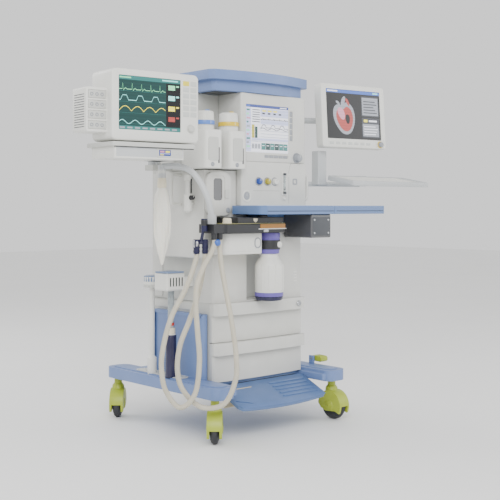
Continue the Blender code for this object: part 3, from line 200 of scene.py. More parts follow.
def nothing_selected():
    active = bpy.context.view_layer.objects.active
    if active and active.mode != "OBJECT":
        bpy.ops.object.mode_set(mode="OBJECT")
    bpy.ops.object.select_all(action="DESELECT")


def only(piece):
    """Selects one object and makes it active."""
    nothing_selected()
    piece.select_set(True)
    bpy.context.view_layer.objects.active = piece
    return piece


def freeze(piece, matrix=None):
    """Puts a piece's place, and a matrix if one is given, into its mesh."""
    if matrix is not None:
        piece.matrix_world = matrix @ piece.matrix_world
    only(piece)
    bpy.ops.object.transform_apply(location=True, rotation=True, scale=True)
    return piece


def block(name, x0, x1, y0, y1, z0, z1):
    """A cube primitive stretched between two corners, in machine coordinates."""
    nothing_selected()
    low, high = machine(x0, y0, z0), machine(x1, y1, z1)
    bpy.ops.mesh.primitive_cube_add(size=1.0, location=(low + high) / 2, scale=high - low)
    piece = bpy.context.object
    piece.name = name
    return freeze(piece)


def edit(piece, test, kind="FACE"):
    """Opens edit mode with only the faces or edges selected whose middle and direction pass the test."""
    only(piece)
    bpy.ops.object.mode_set(mode="EDIT")
    bpy.ops.mesh.select_mode(type=kind)
    bpy.ops.mesh.select_all(action="DESELECT")
    shape = bmesh.from_edit_mesh(piece.data)
    for item in shape.faces if kind == "FACE" else shape.edges:
        if kind == "FACE":
            middle, direction = item.calc_center_median(), item.normal
        else:
            a, b = (v.co for v in item.verts)
            middle, direction = (a + b) / 2, (b - a).normalized()
        item.select_set(test(middle - ORIGIN, direction))
    shape.select_flush_mode()
    bmesh.update_edit_mesh(piece.data)
    return piece


def facing(direction):
    """A test for faces that look one way."""
    return lambda middle, normal: normal.dot(direction) > 0.9


def along_depth(middle, direction):
    """A test for edges that run from front to back."""
    return abs(direction.y) > 0.9


def front_upright(middle, direction):
    """A test for the upright edges at the front of the tower."""
    return abs(direction.z) > 0.9 and middle.y < -0.2


def leave():
    bpy.ops.object.mode_set(mode="OBJECT")


def sink(piece, direction, border, depth):
    """Insets the faces that look one way and moves the inner part along it; a negative depth is a recess."""
    edit(piece, facing(direction))
    bpy.ops.mesh.inset(thickness=border, depth=0.0)
    if depth:
        bpy.ops.mesh.extrude_region_move(TRANSFORM_OT_translate={"value": direction * depth})
    leave()
    return piece


def round_upright(piece, radius, test=None, segments=6):
    """Rounds a block's upright edges, or those that pass the test."""
    edit(piece, test or (lambda middle, direction: abs(direction.z) > 0.9), "EDGE")
    bpy.ops.mesh.bevel(offset=radius, segments=segments, affect="EDGES")
    leave()
    return piece

# %% [markdown]
# Flat outlines such as a drawer front or a hood plate are drawn as a closed flat curve and given a
# thickness. Turned pieces are a half section spun about their axis. Both are made meshes at once, because
# only a mesh can be bevelled.

# %% Outlines and turned pieces
PLANE_TURNS = {
    "XY": Matrix.Identity(4),
    "XZ": Matrix.Rotation(math.radians(90), 4, "X"),
    "YZ": Matrix(((0, 0, 1, 0), (1, 0, 0, 0), (0, 1, 0, 0), (0, 0, 0, 1))),
}
FACING_FRONT = Matrix.Rotation(math.radians(90), 4, "X")
FACING_RIGHT = Matrix.Rotation(math.radians(90), 4, "Y")


def to_mesh(piece):
    """Makes a curve a mesh with no doubled points and its faces outwards."""
    only(piece)
    bpy.ops.object.convert(target="MESH")
    bpy.ops.object.mode_set(mode="EDIT")
    bpy.ops.mesh.select_all(action="SELECT")
    bpy.ops.mesh.remove_doubles(threshold=1e-5)
    bpy.ops.mesh.normals_make_consistent(inside=False)
    leave()
    return piece


def plate(name, outline, plane, start, end):
    """A flat outline in machine coordinates, as thick as from start to end along the third axis."""
    curve = bpy.data.curves.new(name, "CURVE")
    curve.dimensions = "2D"
    curve.fill_mode = "BOTH"
    curve.extrude = abs(end - start) / 2
    spline = curve.splines.new("POLY")
    spline.points.add(len(outline) - 1)
    for point, (a, b) in zip(spline.points, outline):
        point.co = (a, b, 0.0, 1.0)
    spline.use_cyclic_u = True
    piece = bpy.data.objects.new(name, curve)
    bpy.context.scene.collection.objects.link(piece)
    to_mesh(piece)
    middle = (start + end) / 2 * (-1 if plane == "XZ" else 1)
    return freeze(piece, Matrix.Translation(ORIGIN) @ PLANE_TURNS[plane] @ Matrix.Translation((0, 0,
                middle)))


def turned(name, profile, place=(0, 0, 0), tilt=None, steps=40):
    """Spins a half section of (radius, height) points about Z, then tilts and places it."""
    nothing_selected()
    bpy.ops.mesh.primitive_plane_add(size=0.01)
    piece = bpy.context.object
    piece.name = name
    bpy.ops.object.mode_set(mode="EDIT")
    bpy.ops.mesh.select_mode(type="VERT")
    bpy.ops.mesh.merge(type="CENTER")
    radius, height = profile[0]
    bpy.ops.transform.translate(value=(radius, 0, height))
    for nearer, farther in zip(profile, profile[1:]):
        step = (farther[0] - nearer[0], 0, farther[1] - nearer[1])
        bpy.ops.mesh.extrude_region_move(TRANSFORM_OT_translate={"value": step})
    bpy.ops.mesh.select_all(action="SELECT")
    bpy.ops.mesh.spin(steps=steps, angle=2 * math.pi, center=(0, 0, 0), axis=(0, 0, 1))
    bpy.ops.mesh.select_all(action="SELECT")
    bpy.ops.mesh.remove_doubles(threshold=1e-6)
    bpy.ops.mesh.normals_make_consistent(inside=False)
    leave()
    return freeze(piece, Matrix.Translation(ORIGIN + Vector(place)) @ (tilt or Matrix.Identity(4)))


def cap_outline(flat, rim, top, shoulder, foot=-0.001):
    """The half section of a round cap: a flat top, a sloping shoulder and a straight rim."""
    return [(0, top), (flat, top), (rim, shoulder), (rim, foot), (0, foot)]


def arc(centre, radius, start, end, count=8):
    """Points along an arc, its angles in degrees."""
    angles = [math.radians(start + (end - start) * i / count) for i in range(count + 1)]
    return [(centre[0] + radius * math.cos(a), centre[1] + radius * math.sin(a)) for a in angles]


def rounded(x0, x1, y0, y1, radius, count=6):
    """A rectangle's outline with round corners."""
    points = []
    for cx, cy, start in ((x1 - radius, y0 + radius, -90), (x1 - radius, y1 - radius, 0),
                          (x0 + radius, y1 - radius, 90), (x0 + radius, y0 + radius, 180)):
        points += arc((cx, cy), radius, start, start + 90, count)
    return points


def bowed(half_width, front, bow, back, count=28, corner=0.0):
    """An outline with a straight back and a front that bulges by bow in the middle."""
    inner = half_width - corner
    across = [-inner + 2 * inner * i / count for i in range(count + 1)]
    face = [(x, front - bow * (1 - (x / half_width) ** 2)) for x in across]
    if corner:
        face = [(-half_width, front + corner), *face, (half_width, front + corner)]
    return face + [(half_width, back), (-half_width, back)]


def pipe(name, points, radius, sides=4, spacing=None, radii=None):
    """A round bar through places in machine coordinates, as a mesh."""
    line = smooth_path(points, spacing) if spacing else [Vector(p) for p in points]
    return to_mesh(bent_rod(name, [machine(*p) for p in line], radius, sides, radii))

# %% [markdown]
# Every piece ends the same way: its edges get a small round, because no moulded or bent edge is ever sharp
# and the highlight along it is what makes a piece look real. Then it gets its material and the body that it
# rides on.

# %% Cutting, joining and finishing
def cut(piece, *cutters, union=False):
    """Takes closed shapes away from a piece, or adds them to it, and removes them."""
    for cutter in cutters:
        only(piece)
        boolean = piece.modifiers.new("cut", "BOOLEAN")
        boolean.operation = "UNION" if union else "DIFFERENCE"
        boolean.object = cutter
        bpy.ops.object.modifier_apply(modifier=boolean.name)
        bpy.data.objects.remove(cutter, do_unlink=True)
    return piece


def join(name, pieces):
    """Makes several pieces one object."""
    nothing_selected()
    for piece in pieces:
        piece.select_set(True)
    bpy.context.view_layer.objects.active = pieces[0]
    if len(pieces) > 1:
        bpy.ops.object.join()
    pieces[0].name = name
    return pieces[0]


def soften(piece, width, segments=3, angle=35):
    """Rounds every edge sharper than an angle."""
    only(piece)
    bevel = piece.modifiers.new("soft edges", "BEVEL")
    bevel.width = width
    bevel.segments = segments
    bevel.limit_method = "ANGLE"
    bevel.angle_limit = math.radians(angle)
    bpy.ops.object.modifier_apply(modifier=bevel.name)
    return piece


def dress(piece, material, body="root", slot=None, instead_of=(), edge=0.0, smooth=32, segments=3):
    """Rounds a piece's edges, shades it, gives it its material and sets it on its body."""
    if edge:
        soften(piece, edge, segments)
    only(piece)
    bpy.ops.object.shade_smooth_by_angle(angle=math.radians(smooth))
    piece.data.materials.clear()
    piece.data.materials.append(material)
    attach(piece, body)
    if instead_of:
        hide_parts(*instead_of)
    return piece


def repaint(node, material):
    """Gives a CAD node that already has the right shape a finished material."""
    piece = frame["nodes"][node]
    piece.data.materials.clear()
    piece.data.materials.append(material)
    return piece

# %% [markdown]
# ## Materials
#
# A surface is a base colour with slow variation from handling and ageing, a fine relief from the way it was
# made, and a roughness that changes with both. All patterns read Object coordinates, which are metres here,
# so each scale is one over a real size.

# %% Material helpers
MM = 0.001


def linear(hex_colour):
    """An sRGB hex colour as the linear RGBA that a shader takes."""
    parts = [int(hex_colour[i:i + 2], 16) / 255 for i in (1, 3, 5)]
    return (*[p / 12.92 if p <= 0.04045 else ((p + 0.055) / 1.055) ** 2.4 for p in parts], 1.0)


def add(tree, kind, inputs=None, **settings):
    """Adds a node. Settings are its properties; inputs are values or other nodes' outputs, by socket."""
    made = tree.nodes.new(kind)
    for key, value in settings.items():
        setattr(made, key, value)
    for key, value in (inputs or {}).items():
        if isinstance(value, bpy.types.NodeSocket):
            tree.links.new(value, made.inputs[key])
        else:
            made.inputs[key].default_value = value
    return made


def new_material(name, **sockets):
    """A material with one Principled shader, whose sockets are set by name with spaces as underscores."""
    material = bpy.data.materials.new(name)
    material.use_nodes = True
    tree = material.node_tree
    shader = tree.nodes["Principled BSDF"]
    for key, value in sockets.items():
        shader.inputs[key.replace("_", " ")].default_value = value
    return material, tree, shader


def moulded(name, tone, worn, roughness=0.42, grain_mm=1.4, relief=0.12, patch_mm=90, **sockets):
    """Moulded or painted surface: a tone that drifts to a worn one in soft patches, under a fine grain."""
    material, tree, shader = new_material(name, **sockets)
    where = add(tree, "ShaderNodeTexCoord").outputs["Object"]
    patches = add(tree, "ShaderNodeTexNoise", {"Vector": where, "Scale": 1 / (patch_mm * MM),
            "Detail": 4.0})
    tint = add(tree, "ShaderNodeMix", {"Factor": patches.outputs["Fac"], 6: linear(tone), 7: linear(worn)},
               data_type="RGBA")
    grain = add(tree, "ShaderNodeTexNoise", {"Vector": where, "Scale": 1 / (grain_mm * MM), "Detail": 2.0})
    bump = add(tree, "ShaderNodeBump", {"Height": grain.outputs["Fac"], "Strength": relief,
            "Distance": 0.3 * MM})
    rough = add(tree, "ShaderNodeMapRange", {"Value": patches.outputs["Fac"], "To Min": roughness - 0.07,
                                             "To Max": roughness + 0.09})
    tree.links.new(tint.outputs[2], shader.inputs["Base Color"])
    tree.links.new(bump.outputs["Normal"], shader.inputs["Normal"])
    tree.links.new(rough.outputs["Result"], shader.inputs["Roughness"])
    return material

# %% [markdown]
# Most of the machine is light grey polyurethane or ABS in a satin finish, and steel with a powder coat. The
# coat has a slightly coarser orange peel than the moulded grain. The hood, base, footrest and worktop edges
# share one slate blue.

# %% Casing finishes
casing = moulded("satin_moulded_polyurethane", "#d3d3ce", "#c5c5c0", 0.40, 1.6, 0.10)
casing_shade = moulded("powder_coated_steel_light_grey", "#c8c9c4", "#babbb6", 0.48, 2.4, 0.16)
white_abs = moulded("moulded_abs_white", "#e2e2dd", "#d5d5cf", 0.36, 1.2, 0.08)
cream_abs = moulded("moulded_abs_cream", "#e4dcc4", "#d8ceb2", 0.42, 1.2, 0.10)
grey_abs = moulded("moulded_abs_mid_grey", "#9a9ea4", "#8b8f96", 0.42, 1.2, 0.10)
# This dark grey is real moulded ABS on most parts. On the thin plate under the hood it is painted shade.
dark_abs_and_painted_shade = moulded("moulded_abs_dark_grey_and_painted_shade", "#4a4d52", "#3d4045", 0.45, 1.2, 0.12)
black_abs = moulded("moulded_abs_black", "#1c1d20", "#2a2b2e", 0.36, 1.0, 0.10)
blue_coat = moulded("polyurethane_paint_slate_blue", "#7087b6", "#637aa9", 0.38, 2.2, 0.12)
blue_moulded = moulded("moulded_polyurethane_slate_blue", "#5f7aa8", "#526c99", 0.42, 1.6, 0.14)
lime_nylon = moulded("glass_filled_nylon_lime", "#a9b636", "#97a42a", 0.40, 1.4, 0.14)
beige_coat = moulded("vinyl_kick_plate_beige", "#cfc3a4", "#bfb190", 0.50, 2.0, 0.18)
arm_coat = moulded("powder_coated_aluminium_pale_grey", "#c3c6c7", "#b4b7b9", 0.44, 2.0, 0.16)
print(len(bpy.data.materials), "materials so far, the frame's own among them")

# %% [markdown]
# Knobs, rings and seals are small pieces of engineering plastic in the colours that tell gases and functions
# apart. They are glossier than the casing, because they are polished moulds and much handled.

# %% Accent finishes
knob_blue = moulded("polyamide_knob_blue", "#2f4fa8", "#27458f", 0.30, 0.8, 0.06)
knob_yellow = moulded("polyamide_knob_olive_yellow", "#b0a43a", "#998d2c", 0.32, 0.8, 0.06)
band_blue = moulded("enamel_band_light_blue", "#5b84cf", "#4f78c4", 0.34, 0.8, 0.06)
band_yellow = moulded("enamel_band_yellow", "#e3c431", "#d4b322", 0.34, 0.8, 0.06)
soft_purple = moulded("silicone_ring_violet", "#6d5fae", "#5c4f9c", 0.34, 0.8, 0.08)
dark_purple = moulded("polysulfone_dark_violet", "#27264a", "#1d1c38", 0.22, 0.8, 0.05)
sleeve_blue = moulded("polysulfone_sleeve_midnight", "#25264a", "#1a1b36", 0.20, 0.8, 0.05)
ball_blue = moulded("silicone_connector_blue", "#3c66b8", "#3158a6", 0.30, 0.8, 0.06)
jar_blue = moulded("polycarbonate_lid_blue_grey", "#7286a8", "#64789b", 0.34, 1.2, 0.08)
float_red = moulded("nylon_float_red", "#c23a2e", "#a92f25", 0.35, 0.8, 0.06)
amber_disc = moulded("ceramic_valve_disc_amber", "#a8742e", "#8f6023", 0.38, 0.8, 0.08)
olive_disc = moulded("anodised_plate_olive", "#8d8a58", "#7b784a", 0.36, 0.8, 0.08)
button_amber = moulded("silicone_key_yellow", "#e6d64a", "#d6c53c", 0.38, 0.8, 0.06)
button_grey = moulded("silicone_key_pale", "#c9ccc9", "#bcbfbc", 0.42, 0.8, 0.08)
seam_dark = moulded("shadow_gap_gasket", "#3a3c40", "#2e3034", 0.70, 1.6, 0.20)

# %% [markdown]
# Tyres and seals are rubber: dark, rough, with a dusty bloom that is paler where it has been handled.
# Chrome keeps its default IOR, and its life comes from fine brushing that breaks up the reflection.

# %% Rubber and metal
rubber = moulded("moulded_rubber_black", "#232427", "#35363a", 0.66, 1.8, 0.35, 40)


def brushed(name, tone, worn, roughness, stretch):
    """Metal with brush marks: noise that is stretched many times along one direction."""
    material, tree, shader = new_material(name, Metallic=1.0)
    where = add(tree, "ShaderNodeTexCoord").outputs["Object"]
    along = add(tree, "ShaderNodeMapping", {"Vector": where, "Scale": stretch})
    marks = add(tree, "ShaderNodeTexNoise", {"Vector": along.outputs["Vector"], "Scale": 1 / (0.9 * MM),
            "Detail": 3.0})
    tint = add(tree, "ShaderNodeMix", {"Factor": marks.outputs["Fac"], 6: linear(tone), 7: linear(worn)},
               data_type="RGBA")
    rough = add(tree, "ShaderNodeMapRange", {"Value": marks.outputs["Fac"], "To Min": roughness - 0.06,
                                             "To Max": roughness + 0.10})
    bump = add(tree, "ShaderNodeBump", {"Height": marks.outputs["Fac"], "Strength": 0.08,
            "Distance": 0.1 * MM})
    tree.links.new(tint.outputs[2], shader.inputs["Base Color"])
    tree.links.new(rough.outputs["Result"], shader.inputs["Roughness"])
    tree.links.new(bump.outputs["Normal"], shader.inputs["Normal"])
    return material


chrome = brushed("chromed_brass", "#d6d8db", "#b9bcc0", 0.16, (1.0, 1.0, 0.08))
steel = brushed("brushed_stainless_steel", "#c2c4c6", "#a2a5a8", 0.30, (0.05, 1.0, 1.0))

# %% [markdown]
# The hoses are soft EVA, a warm translucent beige. The noise is coarse along
# the hose, as the colour of old hoses drifts over a hand's width. The bag is limp silicone: matt, milky,
# with light bleeding through its thin wall.

# %% Hose, silicone, clear plastic
hose_eva = moulded("extruded_eva_beige", "#c6c1b1", "#b3ad9b", 0.44, 1.8, 0.15, 45, Subsurface_Weight=0.25,
                   Subsurface_Radius=(0.008, 0.006, 0.004), Subsurface_Scale=0.3)
bag_silicone = moulded("dipped_silicone_milk_white", "#ebe9e0", "#dedbd0", 0.50, 2.2, 0.20, 60,
    Subsurface_Weight=0.35, Subsurface_Radius=(0.012, 0.010, 0.008), Subsurface_Scale=0.4)
clear_acrylic = moulded("clear_acrylic", "#eef3f4", "#dfe8ea", 0.10, 3.0, 0.03, 60,
    Transmission_Weight=0.92, IOR=1.49)
smoked_acrylic = moulded("smoked_acrylic", "#5a5b5d", "#4a4b4e", 0.16, 3.0, 0.04, 120, Coat_Weight=0.4)
glass_pane = moulded("toughened_glass", "#dfe6ea", "#d2dbe0", 0.06, 4.0, 0.02, 80, Transmission_Weight=0.75,
    IOR=1.5)
for hose in hoses.values():
    hose.data.materials.append(hose_eva)

# %% [markdown]
# The frame's record names a slot for each kind of finish, so that a factory line can swap one for another.


# %% [markdown]
# Laminate worktop: the top is pale and hard, the edge band is blue. Both are one material here, which tells
# top from edge by where the surface faces, as the real piece is two sheets glued on one core.

# %% Worktop laminate
def laminate(name):
    """Pale top and blue edges, told apart by the surface's own upright direction."""
    material, tree, shader = new_material(name, Coat_Weight=0.15)
    where = add(tree, "ShaderNodeTexCoord").outputs["Object"]
    fleck = add(tree, "ShaderNodeTexNoise", {"Vector": where, "Scale": 1 / (3.0 * MM), "Detail": 3.0})
    top = add(tree, "ShaderNodeMix", {"Factor": fleck.outputs["Fac"], 6: linear("#c9d2e2"),
            7: linear("#b4c0d4")}, data_type="RGBA")
    side = add(tree, "ShaderNodeMix", {"Factor": fleck.outputs["Fac"], 6: linear("#5f7ba9"),
            7: linear("#54709e")}, data_type="RGBA")
    upright = add(tree, "ShaderNodeSeparateXYZ", {"Vector": add(tree,
                "ShaderNodeNewGeometry").outputs["Normal"]})
    share = add(tree, "ShaderNodeMapRange", {"Value": upright.outputs["Z"], "From Min": 0.55,
            "From Max": 0.9})
    both = add(tree, "ShaderNodeMix", {"Factor": share.outputs["Result"], 6: side.outputs[2],
            7: top.outputs[2]}, data_type="RGBA")
    bump = add(tree, "ShaderNodeBump", {"Height": fleck.outputs["Fac"], "Strength": 0.08,
            "Distance": 0.2 * MM})
    rough = add(tree, "ShaderNodeMapRange", {"Value": fleck.outputs["Fac"], "To Min": 0.30, "To Max": 0.44})
    tree.links.new(both.outputs[2], shader.inputs["Base Color"])
    tree.links.new(rough.outputs["Result"], shader.inputs["Roughness"])
    tree.links.new(bump.outputs["Normal"], shader.inputs["Normal"])
    return material


worktop_laminate = laminate("laminated_worktop")

# %% [markdown]
# The screens are on. Each colour on them is a lit surface with the fine raster of its panel: dots about a
# third of a millimetre apart in reality, drawn at 2 mm so that they can be seen at all.

# %% Lit screen colours
def lit(name, tone, strength=0.55):
    """A glowing colour with a faint raster, under the screen's gloss."""
    material, tree, shader = new_material(name, Roughness=0.25)
    where = add(tree, "ShaderNodeTexCoord").outputs["Object"]
    raster = add(tree, "ShaderNodeTexWave", {"Vector": where, "Scale": 1 / (2.0 * MM) / 20,
            "Distortion": 0.0}, bands_direction="Z")
    glow = add(tree, "ShaderNodeMix", {"Factor": raster.outputs["Fac"], 6: linear(tone),
            7: tuple(0.86 * c for c in linear(tone)[:3]) + (1.0,)}, data_type="RGBA")
    tree.links.new(glow.outputs[2], shader.inputs["Base Color"])
    tree.links.new(glow.outputs[2], shader.inputs["Emission Color"])
    shader.inputs["Emission Strength"].default_value = strength
    return material


SCREEN_COLOURS = {
    "white": lit("screen_white", "#e6e8f2"), "lavender": lit("screen_lavender", "#b9bfe0"),
    "navy": lit("screen_navy", "#2b3f86"), "black": lit("screen_black", "#0e1014", 0.2),
    "teal": lit("screen_teal", "#2f6f6c"), "green": lit("screen_green", "#7fd4a0", 0.8),
    "cyan": lit("screen_cyan", "#8fe0dc", 0.8), "deep_green": lit("screen_deep_green", "#123a38", 0.35),
    "olive": lit("screen_olive", "#a9a23a"), "yellow": lit("screen_yellow", "#e8dc4c", 0.7),
    "red": lit("screen_red", "#a2413c", 0.6), "grey": lit("screen_grey", "#8f939c"),
    "dark_grey": lit("screen_dark_grey", "#3a3d44", 0.4), "blue": lit("screen_blue", "#3f62b4", 0.6),
    "pink": lit("screen_pink", "#c98aa0"),
}
print(len(SCREEN_COLOURS), "screen colours")

# %% [markdown]
# ## Studio
#
# A pale floor and a big soft light from the front left, a weaker one from the right, and a pale surround
# keep the light as even as in a product studio, with soft shade under the hood and the worktop.

# %% Floor, lights and surround
nothing_selected()
bpy.ops.mesh.primitive_plane_add(size=30.0, location=(0, 0, 0))
floor = bpy.context.object
floor.name = "studio_floor"
floor.data.materials.append(moulded("painted_studio_floor", "#f4f4f3", "#eeeeed", 0.60, 6.0, 0.05, 900))

LAMPS = {                      # where each soft light hangs, how wide it is, and its power
    "key_light": ((-2.6, -3.4, 3.2), 2.4, 175),
    "fill_light": ((3.2, -3.0, 2.0), 2.4, 45),
    "back_light": ((-1.5, 3.4, 3.0), 2.4, 70),
}
for lamp_name, (place, width, power) in LAMPS.items():
    lamp = bpy.data.lights.new(lamp_name, "AREA")
    lamp.size = width
    lamp.energy = power
    holder = bpy.data.objects.new(lamp_name, lamp)
    holder.location = machine(*place)
    holder.rotation_euler = (machine(0, 0, 0.8) - holder.location).to_track_quat("-Z", "Y").to_euler()
    bpy.context.scene.collection.objects.link(holder)

world = bpy.data.worlds.new("studio_surround")
world.use_nodes = True
world.node_tree.nodes["Background"].inputs["Color"].default_value = linear("#fbfbfb")
world.node_tree.nodes["Background"].inputs["Strength"].default_value = 1.15
bpy.context.scene.world = world
print("studio has", len(LAMPS), "lamps")

# %% [markdown]
# ## The wheeled base
#
# The base is a moulded blue shell: two long side rails with round ends and softly rolled edges, a floor
# between them, and a skirt wall at the left that hides the gas lines. Each rail is a rounded outline given
# a height and a generous bevel, as a real rotational moulding can't have a sharp corner.

# %% Side rails, floor and skirt
base_left, base_right, base_front, base_back, base_bottom, base_top = edges_of("base_chassis")
RAIL_WIDTH = 0.113
RAIL_TOP = 0.222
FLOOR_LEVEL = 0.208
rails = []
for side in (-1, 1):
    outer = base_right if side > 0 else base_left
    x0, x1 = sorted((outer, outer - side * RAIL_WIDTH))
    rail = plate("rail", rounded(x0, x1, base_front, base_back, 0.042, 10), "XY", base_bottom, RAIL_TOP)
    rails.append(soften(rail, 0.014, 5))
    step = plate("rail_step", rounded(x0 + 0.020, x1 - 0.020, base_front + 0.025, base_back - 0.025, 0.030,
            8), "XY", RAIL_TOP - 0.004, RAIL_TOP + 0.003)
    rails.append(soften(step, 0.003, 3))
dress(join("base_side_rails", rails), blue_coat, instead_of=["base_chassis"])

floor_pan = block("base_floor_pan", base_left + 0.06, base_right - 0.06, -0.205, 0.340, FLOOR_LEVEL - 0.014,
    FLOOR_LEVEL)
dress(floor_pan, blue_coat, edge=0.003)
cheeks = [block("cheek", *sorted((side * 0.2455, side * 0.290)), -0.360, -0.203, base_bottom + 0.003,
        0.2105) for side in (-1, 1)]
dress(join("base_front_cheeks", cheeks), blue_coat, edge=0.006, segments=4)
skirt = block("base_skirt_wall", -0.2853, -0.2555, -0.194, 0.150, RAIL_TOP - 0.010, base_top)
round_upright(skirt, 0.012)
sink(skirt, LEFT, 0.016, -0.003)
dress(skirt, blue_coat, edge=0.003)
print("rails are", round(base_back - base_front, 3), "m long")

# %% [markdown]
# A pale anti-slip deck lies along the left rail, where the suction and scavenging stands are screwed down.
# Two dark cross members tie the rails together under the floor.

# %% Deck strip and cross members
deck = plate("left_rail_deck", rounded(base_left + 0.028, base_left + 0.088, -0.115, 0.200, 0.020), "XY",
             RAIL_TOP + 0.0032, RAIL_TOP + 0.0062)
dress(deck, casing_shade, edge=0.0012)
members = [block("member", -0.27, 0.27, y, y + 0.050, base_bottom + 0.002, FLOOR_LEVEL - 0.016)
    for y in (-0.170, 0.285)]
dress(join("base_cross_members", members), dark_abs_and_painted_shade, edge=0.004)
screws = []
for x in (base_left + 0.040, base_left + 0.076):
    for y in (-0.100, 0.185):
        screws.append(turned("screw", [(0, 0.0018), (0.0035, 0.0014), (0.0045, 0.0), (0, 0.0)],
                             (x, y, RAIL_TOP + 0.0060), steps=14))
dress(join("deck_screws", screws), chrome)

# %% [markdown]
# ## Castors
#
# Four braked twin-hood castors in lime nylon. The hood is a drum section closed round the tyre with flat
# cheeks, and the tyre shows below it and at the back. The hood starts as its side outline, is given the
# fork's width and a deep bevel, and the tyre's room is cut out. Each body's own hinge says where a castor
# stands and which way it points.

# %% Castor hoods, forks and tyres
WHEEL_RADIUS = 0.0625
TYRE_WIDTH = 0.036
HOOD_RADIUS = 0.0655
HOOD_WIDTH = 0.060
TRAIL = 0.012
for corner in ("front_left", "front_right", "rear_left", "rear_right"):
    fork, wheel = "castor_fork_" + corner, "castor_wheel_" + corner
    hub, stem = HINGES[wheel], HINGES[fork]
    heading = math.atan2(stem.y - hub.y, stem.x - hub.x)
    stand = Matrix.Translation((*hub.xy, 0)) @ Matrix.Rotation(heading, 4,
        "Z") @ Matrix.Translation(-ORIGIN)
    centre = (0.0, hub.z)
    outline = arc(centre, HOOD_RADIUS, 4, 208, 30) + [(-0.034, hub.z - 0.022), (0.020, hub.z - 0.026),
        (0.050, hub.z - 0.014)]
    hood = soften(plate("hood", outline, "XZ", -HOOD_WIDTH / 2, HOOD_WIDTH / 2), 0.010, 4)
    room = plate("room", arc(centre, WHEEL_RADIUS + 0.0015, 0, 352, 44), "XZ", -TYRE_WIDTH / 2 - 0.002,
        TYRE_WIDTH / 2 + 0.002)
    below = block("below", -0.09, 0.09, -TYRE_WIDTH / 2 - 0.002, TYRE_WIDTH / 2 + 0.002, -0.02, hub.z)
    cut(hood, room, below)
    pieces = [hood]
    for side in (-1, 1):
        turn = FACING_FRONT if side < 0 else FACING_FRONT.inverted()
        pieces.append(turned("hub_cap", [(0, 0.0035), (0.009, 0.0035), (0.012, 0.002), (0.020, 0.002),
                    (0.022, 0.0), (0, 0.0)], (0, side * HOOD_WIDTH / 2, hub.z), turn, 28))
    pieces.append(turned("stem", [(0, 0.176), (0.017, 0.176), (0.017, 0.150), (0.026, 0.138),
                (0.028, 0.118), (0, 0.112)], (TRAIL, 0, 0), steps=32))
    body = freeze(join(fork + "_hood", pieces), stand)
    dress(body, lime_nylon, fork, instead_of=[fork])

    half = TYRE_WIDTH / 2
    section = [(0.0075, half - 0.004), (0.030, half - 0.004), (0.036, half - 0.001), (0.046, half),
        (0.050, half - 0.003), (0.056, half - 0.004), (0.0605, half - 0.008), (0.0623, half - 0.012),
        (0.0625, 0.0)]
    section += [(r, -z) for r, z in reversed(section[:-1])]
    tyre = turned(wheel + "_tyre", section + [section[0]], (0, 0, hub.z), FACING_FRONT, 48)
    dress(freeze(tyre, stand), rubber, wheel, instead_of=[wheel])
    pin = turned(wheel + "_axle_sleeve", [(0.0066, 0.0145), (0.012, 0.0145), (0.013, 0.0), (0.012, -0.0145),
            (0.0066, -0.0145), (0.0066, 0.0145)], (0, 0, hub.z), FACING_FRONT, 24)
    dress(freeze(pin, stand), grey_abs, wheel)
print("four castors, tyres", 2 * WHEEL_RADIUS, "m across")

# %% [markdown]
# The brake pedal beside the right rail is a lime shoe with a ribbed tread. One push locks all four castors.

# %% Brake pedal
pedal_x0, pedal_x1, pedal_y0, pedal_y1, pedal_z0, pedal_z1 = edges_of("brake_pedal")
shoe = [(pedal_y0, pedal_z0 + 0.006), (pedal_y0 + 0.006, pedal_z0), (pedal_y1 - 0.012, pedal_z0 + 0.002)]
shoe += arc((pedal_y1 - 0.012, pedal_z0 + 0.014), 0.012, -90, 80, 8)
shoe += [(pedal_y0 + 0.008, pedal_z1), (pedal_y0, pedal_z1 - 0.006)]
pedal = plate("shoe", shoe, "YZ", pedal_x1 - 0.044, pedal_x1)
treads = [block("tread", pedal_x1 - 0.042, pedal_x1 - 0.006, pedal_y0 + 0.010 + 0.009 * i,
        pedal_y0 + 0.014 + 0.009 * i, pedal_z1 - 0.003, pedal_z1 + 0.0015) for i in range(4)]
soften(pedal, 0.004)
dress(join("brake_pedal_shoe", [pedal, *treads]), lime_nylon, "brake_pedal", instead_of=["brake_pedal"])
pin = turned("brake_pedal_pin", cap_outline(0.005, 0.006, 0.004, 0.003, -0.056),
             (pedal_x1, pedal_y1 - 0.012, pedal_z0 + 0.014), FACING_RIGHT, 20)
dress(pin, steel, "brake_pedal")
lug = block("brake_pedal_lug", pedal_x0 - 0.002, pedal_x0 + 0.006, pedal_y1 - 0.027, pedal_y1 + 0.003,
    RAIL_TOP - 0.010, pedal_z0 + 0.026)
dress(lug, blue_coat, edge=0.002)

# %% [markdown]
# ## Footrest
#
# A sloping blue tray between the front castors. Its lip is rolled, five anti-slip ribs cover the right
# half, and one long groove runs across its left corner. A beige vinyl kick plate hangs below the left part.

# %% Footrest tray
tray_x1 = edges_of("footrest")[1]
TRAY_SLOPE = math.radians(24.0)
TRAY_LENGTH = 0.178
TRAY_BACK = (-0.232, 0.198)
slope = Matrix.Translation(ORIGIN + Vector((0, *TRAY_BACK))) @ Matrix.Rotation(TRAY_SLOPE, 4,
    "X") @ Matrix.Translation(-ORIGIN)
tray = plate("tray", bowed(tray_x1, -TRAY_LENGTH + 0.012, 0.0192, 0.0, 40, 0.014), "XY", -0.012, 0.0)
soften(tray, 0.0055, 4)
lip = plate("lip", [*bowed(tray_x1 - 0.006, -TRAY_LENGTH + 0.013, 0.0188, -TRAY_LENGTH + 0.030, 40)], "XY",
    -0.001, 0.003)
soften(lip, 0.0018, 3)
groove = plate("groove", [(-0.232, -0.118), (-0.110, -0.171), (-0.104, -0.167), (-0.230, -0.111)], "XY",
    -0.003, 0.002)
cut(tray, groove)
